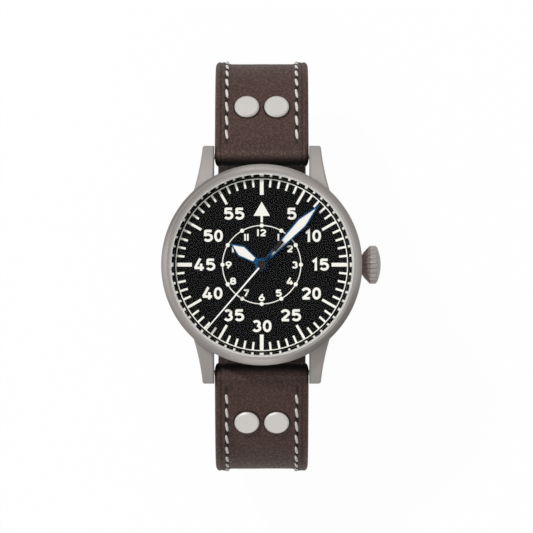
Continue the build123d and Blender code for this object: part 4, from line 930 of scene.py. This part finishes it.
slope_y = math.cos(strap_slope)
slope_z = math.sin(strap_slope)
along_strap = Vector((slope_y, -slope_z))
out_of_strap = Vector((slope_z, slope_y))
upwards = Vector((0, 1))
fold_at = Vector((spring_bar_y, spring_bar_z))


@dataclass
class Station:
    """A cross-section of a strap layer: a point of its visible face, the way in, and its sizes."""

    point: Vector
    inward: Vector
    thickness: float
    half_width: float
    travelled: float


def add_station(stations, point, inward, thickness, half_width):
    travelled = stations[-1].travelled + (point - stations[-1].point).length if stations else 0.0
    stations.append(Station(point, inward, thickness, half_width, travelled))


def from_fold(along, out):
    return fold_at + along_strap * along + out_of_strap * out


def bend_centre(radius):
    return from_fold(flank_length, fold_radius - radius)


def bend_ways():
    """The ways out from the bend's centre, from the flank to the bottom run."""
    for k in range(bend_steps + 1):
        angle = math.radians(90 - slope_degrees - (180 - slope_degrees) * k / bend_steps)
        yield Vector((math.cos(angle), math.sin(angle)))


def bend_half_width(z, radius):
    """Half the strap's width at a height: full at the lugs and narrower along the bottom run."""
    start = bend_centre(radius).y
    end = start - radius + strap_thickness
    return strap_half_width + (strap_end_half_width - strap_half_width) * clamp((start - z) / (start - end))


def tip_half_width(y):
    """Half the width of the long strap's bottom run, up to its pointed tip."""
    share = clamp((y - long_tip_y + long_tip_length) / long_tip_length)
    return max(tip_end_half_width, strap_end_half_width * (1 - share**tip_curve) ** tip_bluntness)


def run_places(start, end, wrap):
    """Places along the bottom run with the half width there, crowded towards the long strap's tip."""
    even_steps = run_steps if wrap else run_steps - tip_steps
    crowded_from = start + (end - start) * even_steps / run_steps
    for k in range(1, run_steps + 1):
        y = start + (end - start) * k / run_steps
        if k > even_steps:
            y = crowded_from + (end - crowded_from) * math.sin((k - even_steps) / tip_steps * math.pi / 2)
        yield y, strap_end_half_width if wrap else tip_half_width(-y)


def flank_thickness(along):
    return 2 * fold_radius - (2 * fold_radius - strap_thickness) * along / flank_length


def fold_stations(stations):
    """The leather's return under the fold and its way round the spring bar."""
    returns = 8
    for k in range(returns):
        along = lining_start * (1 - k / returns)
        thickness = lining_thickness if along > spring_bar_hole else fold_wall
        point = from_fold(along, fold_radius - flank_thickness(along))
        add_station(stations, point, out_of_strap, thickness, strap_half_width)
    for k in range(fold_steps + 1):
        angle = math.pi * k / fold_steps
        away = -out_of_strap * math.cos(angle) - along_strap * math.sin(angle)
        point = fold_at + away * fold_radius
        narrow = fold_corner * clamp(1 - (point.x - spring_bar_y + fold_radius) / fold_corner_length)
        add_station(stations, point, -away, fold_wall, strap_half_width - narrow)


def flank_stations(stations):
    """The leather on the sloping flank, from the fold to the bend."""
    last = fold_run_places[-1]
    flank_steps = 17
    places = [last + (flank_length - last) * k / flank_steps for k in range(1, flank_steps)]
    for along in (*fold_run_places, *places):
        upper = flank_thickness(along) - lining_thickness - layer_clearance
        thickness = fold_wall if along <= spring_bar_hole else upper
        add_station(stations, from_fold(along, fold_radius), -out_of_strap, thickness, strap_half_width)


def buckle_fold_stations(stations, run_end, bottom):
    """The leather's way round the buckle's bar and its return above it."""
    hinge = Vector((run_end, bottom + strap_thickness / 2))
    turns = 15
    for k in range(1, turns + 1):
        angle = math.pi * k / turns
        away = Vector((-math.sin(angle), -math.cos(angle)))
        wall = strap_thickness / 2 - buckle_bar_hole
        add_station(stations, hinge + away * strap_thickness / 2, -away, wall, strap_end_half_width)
    returns = 4
    for k in range(1, returns + 1):
        point = Vector((run_end + buckle_fold_return * k / returns, bottom + strap_thickness))
        add_station(stations, point, -upwards, lining_thickness, strap_end_half_width)


def outer_stations(radius, run_end, wrap):
    """The leather layer: under the fold, round it, down the flank, round the bend and along the run."""
    stations = []
    fold_stations(stations)
    fold_end = stations[-1].travelled
    flank_stations(stations)
    centre = bend_centre(radius)
    for away in bend_ways():
        point = centre + away * radius
        add_station(stations, point, -away, leather_thickness, bend_half_width(point.y, radius))
    bottom = centre.y - radius
    for y, half in run_places(centre.x, run_end, wrap):
        add_station(stations, Vector((y, bottom)), upwards, leather_thickness, half)
    run_length = stations[-1].travelled
    if wrap:
        buckle_fold_stations(stations, run_end, bottom)
    return stations, fold_end, run_length


def lining_stations(radius, run_end, wrap):
    """The lining layer, on the strap's inner face, from the fold's return to the end of the run."""
    stations = []
    start = lining_start + lining_gap
    flank_steps = 12
    for k in range(flank_steps):
        along = start + (flank_length - start) * k / flank_steps
        point = from_fold(along, fold_radius - flank_thickness(along))
        add_station(stations, point, out_of_strap, lining_thickness, strap_half_width)
    centre = bend_centre(radius)
    inner = radius - strap_thickness
    for away in bend_ways():
        half = bend_half_width((centre + away * radius).y, radius)
        add_station(stations, centre + away * inner, away, lining_thickness, half)
    end = run_end + buckle_fold_return + lining_gap if wrap else run_end
    for y, half in run_places(centre.x, end, wrap):
        add_station(stations, Vector((y, centre.y - inner)), -upwards, lining_thickness, half)
    return stations


def face_depth(inset, seam, sink, rounding):
    """How far the visible face lies below its line, at a distance from the strap's edge."""
    crease = crease_depth * dip(inset, crease_inset, crease_width)
    groove = seam * seam_depth * dip(inset, seam_inset, seam_width)
    share = clamp((inset - seam_inset + middle_sink_lead) / middle_sink_width)
    hollow = sink * middle_sink * share * share * (3 - 2 * share)
    return crease + groove + hollow + edge_drop_share * edge_drop(inset, rounding)


def section(station, seam, sink, rounding, trim):
    """The closed outline of a layer's cross-section, as (x, depth) pairs."""
    half = station.half_width - trim
    squeeze = min(1.0, half / strap_end_half_width)
    deepest = station.thickness - thinnest_wall
    face = []
    for inset in face_insets:
        face.append((half - inset * squeeze, min(face_depth(inset, seam, sink, rounding), deepest)))
    face.append((0.0, min(face_depth(strap_half_width, seam, sink, rounding), deepest)))
    back = station.thickness
    right = [(half, back - back_bevel), (half - back_bevel * squeeze, back), (half / 2, back)]
    outline = [(-x, depth) for x, depth in face] + face[-2::-1]
    return outline + right + [(0.0, back)] + [(-x, depth) for x, depth in right[::-1]]


def layer(name, stations, side, seam_from, sink_from, rounding, trim, wrinkle):
    """A closed strap layer swept through its stations; side is 1 at 12 o'clock and -1 at 6."""
    outlines = []
    for station in stations:
        seam = clamp((station.travelled - seam_from) / seam_run_in)
        sink = clamp((station.travelled - sink_from) / middle_sink_run_in)
        outlines.append(section(station, seam, sink, rounding, trim))
    rows = len(outlines[0])

    def place(column, row):
        station = stations[column]
        x, depth = outlines[column][row % rows]
        at = Vector((x, station.point.x, station.point.y)) * wrinkle_scale
        ripple = noise.noise(at + Vector((0, 9 * side, 0)))
        inset = min(1.0, (station.half_width - abs(x)) / 2)
        depth += wrinkle * ripple * inset * (depth < station.thickness / 2)
        point = station.point + station.inward * depth
        return (x, side * point.x, point.y)

    piece = grid(name, len(stations), rows + 1, place)
    open_ends = ((bpy.ops.mesh.select_all, {"action": "DESELECT"}), (bpy.ops.mesh.select_non_manifold, {}))
    edit(piece, weld, *open_ends, (bpy.ops.mesh.edge_face_add, {}), select_all, face_outwards)
    return piece


def cut(piece, cutters):
    """Cuts a joined cutter out of a piece, and removes the cutter."""
    tool = join("cutter", cutters)
    modify(piece, "BOOLEAN", operation="DIFFERENCE", solver="EXACT", object=tool)
    remove(tool)


def hole_cutter(y, z, length):
    """An oval punch through the strap, with rounded ends along it."""
    size = {"radius": hole_width / 2 * MM, "depth": 3 * strap_thickness * MM}
    punch = add(bpy.ops.mesh.primitive_cylinder_add, vertices=24, location=(0, y * MM, z * MM), **size)
    bpy.ops.object.transform_apply(location=True)
    stretch = (length - hole_width) / 2
    for vertex in punch.data.vertices:
        vertex.co.y += math.copysign(stretch * MM, vertex.co.y - y * MM)
    return punch


def strap_holes(z):
    """Cutters for the long strap's holes, of which the tongue's own is drawn out towards its hinge."""
    cutters = []
    for k in range(hole_count):
        y = tongue_y - (k - holes_past_tongue) * hole_pitch
        pull = tongue_hole_pull if k == holes_past_tongue else 0.0
        cutters.append(hole_cutter(y + pull / 2, z, hole_length + pull))
    return cutters


def tongue_slot(y, z):
    """A block for the tongue's slot, with bevelled corners."""
    block = add(bpy.ops.mesh.primitive_cube_add, size=1, location=(0, y * MM, z * MM))
    block.scale = (2 * tongue_slot_half * MM, 2 * buckle_fold_return * MM, 2 * strap_thickness * MM)
    bpy.ops.object.transform_apply(location=True, scale=True)
    modify(block, "BEVEL", width=tongue_slot_bevel * MM, segments=3)
    return block


def one_stitch(width, length, height):
    """A long bead that lies between two holes, arched and rounded, along Y at the origin."""
    piece = add(bpy.ops.mesh.primitive_uv_sphere_add, segments=12, ring_count=10, radius=0.5)
    for vertex in piece.data.vertices:
        x, y, z = vertex.co
        round_off = math.sqrt(max(1e-9, 1 - (2 * y) ** 2))
        fuller = (1 - (2 * abs(y)) ** 5) / round_off
        sink = -stitch_end_sink_share * height * (2 * y) ** 4
        rise = z * height * stitch_roundness * fuller + sink
        vertex.co = Vector((x * width * fuller, y * length, rise)) * MM
    return piece


def surface_frames(stations, start, stop):
    """Points spaced by the stitches' pitch, with the ways along and in and the half width."""
    target = start
    for before, after in zip(stations, stations[1:]):
        while before.travelled <= target < after.travelled and target <= stop:
            share = (target - before.travelled) / (after.travelled - before.travelled)
            point = before.point.lerp(after.point, share)
            forward = (after.point - before.point).normalized()
            inward = before.inward.lerp(after.inward, share).normalized()
            half = before.half_width + (after.half_width - before.half_width) * share
            yield point, forward, inward, half
            target += stitch_pitch


def stitches(name, stations, side, start, stop, body):
    """Two rows of stitches beside the strap's edges, with a needle hole between each two, painted dark as
    its shade.
    """
    pattern = one_stitch(stitch_width, stitch_length, stitch_height)
    hole = one_stitch(needle_hole_width, needle_hole_length, stitch_height / 2)
    copies = []
    holes = []
    for edge in (-1, 1):
        for point, forward, inward, half in surface_frames(stations, start, stop):
            x = edge * (half - seam_inset * min(1.0, half / strap_end_half_width))
            seat = point + inward * seam_depth * stitch_seat_share
            along = Vector((0, side * forward.x, forward.y))
            out = Vector((0, -side * inward.x, -inward.y))
            lean = stitch_slant * (1 + stitch_slant_spread * (chance.random() - 0.5))
            turned = along * math.cos(lean) + along.cross(out) * math.sin(lean)
            matrix = Matrix((turned.cross(out), turned, out)).transposed().to_4x4()
            matrix.translation = Vector((x, side * seat.x, seat.y)) * MM
            copies.append(copy_at(pattern, matrix))
            matrix.translation += along * stitch_pitch / 2 * MM
            holes.append(copy_at(hole, matrix))
    remove(pattern)
    remove(hole)
    for label, members, finish in ((f"{name}_holes", holes, "needle_hole_shade"), (name, copies, "thread")):
        piece = join(label, members)
        edit(piece, face_outwards)
        finished(piece, body, finish, 60)


def strap_half(label, radius, run_end, wrap):
    """One strap half: its leather and lining layers and the stitches on both faces."""
    side = 1 if wrap else -1
    outer, fold_end, run_length = outer_stations(radius, run_end, wrap)
    inner = lining_stations(radius, run_end, wrap)
    first_stitch = fold_end + first_stitch_along + (0.0 if wrap else lower_stitch_delay)
    seam_from = first_stitch - stitch_length / 2 - seam_lead
    sink_from = fold_end + middle_sink_start
    skin = layer(f"{label}_skin", outer, side, seam_from, sink_from, edge_round, 0.0, skin_wrinkle)
    never = math.inf
    back = layer(f"{label}_back", inner, side, back_seam_start, never, back_round, back_trim, back_wrinkle)
    middle = bend_centre(radius).y - radius + strap_thickness / 2
    if wrap:
        cut(skin, [tongue_slot(run_end, middle)])
    else:
        for piece in (skin, back):
            cut(piece, strap_holes(middle))
    finished(skin, label, "strap_leather")
    finished(back, label, "strap_lining")
    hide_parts(f"{label}_leather")
    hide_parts(f"{label}_lining")
    stop = run_length - (buckle_stitch_gap if wrap else last_stitch_gap)
    stitches(f"{label}_stitches", outer, side, first_stitch, stop, label)
    inner_stop = inner[-1].travelled - last_stitch_gap
    stitches(f"{label}_inner_stitches", inner, side, first_inner_stitch_along, inner_stop, label)


def build_strap():
    strap_half("strap_12", short_bend_radius, short_end_y, True)
    strap_half("strap_6", long_bend_radius, -long_tip_y, False)


# Keepers: leather loops with pressed edge lines


def keeper_loop(outer_x, outer_z):
    """Points round a keeper's outer face with their ways out, rounded at its four corners."""
    loop = []
    for quarter, (cx, cz) in enumerate(((1, 1), (-1, 1), (-1, -1), (1, -1))):
        middle = Vector((cx * (outer_x - keeper_corner), cz * (outer_z - keeper_corner)))
        for k in range(keeper_corner_steps + 1):
            angle = math.radians(90 * (quarter + k / keeper_corner_steps))
            away = Vector((math.cos(angle), math.sin(angle)))
            loop.append((middle + away * keeper_corner, away))
    return loop


def keeper_outline(width):
    """The closed outline of a keeper's strip, as (place along the strap, depth) pairs."""
    face = []
    for inset in keeper_insets:
        crease = keeper_crease_depth * dip(inset, keeper_crease_inset, keeper_crease_width)
        face.append((inset, crease + edge_drop(inset, keeper_round)))
    bevel = keeper_back_bevel
    side = keeper_wall - bevel
    back = [(width, side), (width - bevel, keeper_wall), (bevel, keeper_wall), (0.0, side)]
    return face + [(width / 2, 0.0)] + [(width - inset, depth) for inset, depth in face[::-1]] + back


def keeper(node, body):
    """A leather loop round both strap ends, rounded at its edges."""
    low, high = (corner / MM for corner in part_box(node))
    middle_z = (high.z + low.z) / 2
    loop = keeper_loop((high.x - low.x) / 2, (high.z - low.z) / 2)
    outline = keeper_outline(high.y - low.y)

    def place(column, row):
        point, away = loop[column % len(loop)]
        along, depth = outline[row % len(outline)]
        at = point - away * depth
        return (at.x, low.y + along, middle_z + at.y)

    piece = grid(f"{node}_loop", len(loop) + 1, len(outline) + 1, place)
    edit(piece, weld, face_outwards)
    finished(piece, body, "keeper_leather")
    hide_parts(node)


# Stage: floor, lamps, world and camera


def make_floor():
    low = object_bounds()[0].z
    floor = add(bpy.ops.mesh.primitive_plane_add, size=floor_size, location=(0, 0, low - floor_gap))
    floor.name = "floor"
    finish = Finish("floor")
    tone = finish.noise(0.002)
    white = finish.mix(tone, (0.8, 0.8, 0.8), (0.82, 0.82, 0.82))
    finish.set(Base_Color=white, Roughness=0.9, Specular_IOR_Level=0.0)
    glow = finish.node("Emission", {"Color": (1, 1, 1), "Strength": 1.0})
    lit = Value(finish, finish.shader.outputs[0])
    finish.show(finish.mixed(finish.seen() * white_floor_share, lit, glow))
    floor.data.materials.append(finish.material)


def lamp(name, location, size, share):
    """A round lamp aimed at the watch, which gives a level face a share of full light."""
    light = add(bpy.ops.object.light_add, type="AREA", location=location)
    light.name = name
    light.data.shape = "DISK"
    light.data.size = size
    distance = Vector(location).length
    light.data.energy = share * math.pi**2 * distance**3 / location[2]
    light.rotation_euler = (-Vector(location)).to_track_quat("-Z", "Y").to_euler()


def make_lights():
    lamp("key", (-0.5, 0.56, 0.95), 0.12, 0.5)
    lamp("top_side", (0, 1.1, 0.6), 0.9, 0.018)
    lamp("bottom_side", (0, -1.1, 0.6), 0.9, 0.045)
    lamp("left_side", (-1.1, 0, 0.6), 0.9, 0.04)
    lamp("right_side", (1.1, 0, 0.6), 0.9, 0.01)


def make_world():
    """An even, pale light, behind which the camera, metal and glass see white."""
    world = bpy.data.worlds.new("studio")
    bpy.context.scene.world = world
    nodes = Nodes(world, "ShaderNodeOutputWorld")
    pale = nodes.node("Background", {"Color": (0.93, 0.94, 0.95), "Strength": 0.45})
    white = nodes.node("Background", {"Color": (1, 1, 1), "Strength": 1.0})
    nodes.show(nodes.mixed(nodes.seen(), pale, white))


def make_camera():
    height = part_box("bezel")[1].z + camera_distance * MM
    right = centre_right_px / pixels_per_mm * MM
    down = -centre_up_px / pixels_per_mm * MM
    camera = add(bpy.ops.object.camera_add, location=(right, down, height), rotation=(0, 0, 0))
    camera.data.sensor_width = sensor_mm
    camera.data.lens = sensor_mm * camera_distance / (photo_width_px / pixels_per_mm)
    camera.data.clip_start = 0.01
    camera.data.clip_end = 10.0
    bpy.context.scene.camera = camera
    bpy.context.scene.view_settings.view_transform = "Standard"


dress_packed_pieces()
print_dial()
build_strap()
keeper("fixed_keeper", "strap_12")
keeper("free_keeper", "free_keeper")
make_floor()
make_lights()
make_world()
make_camera()
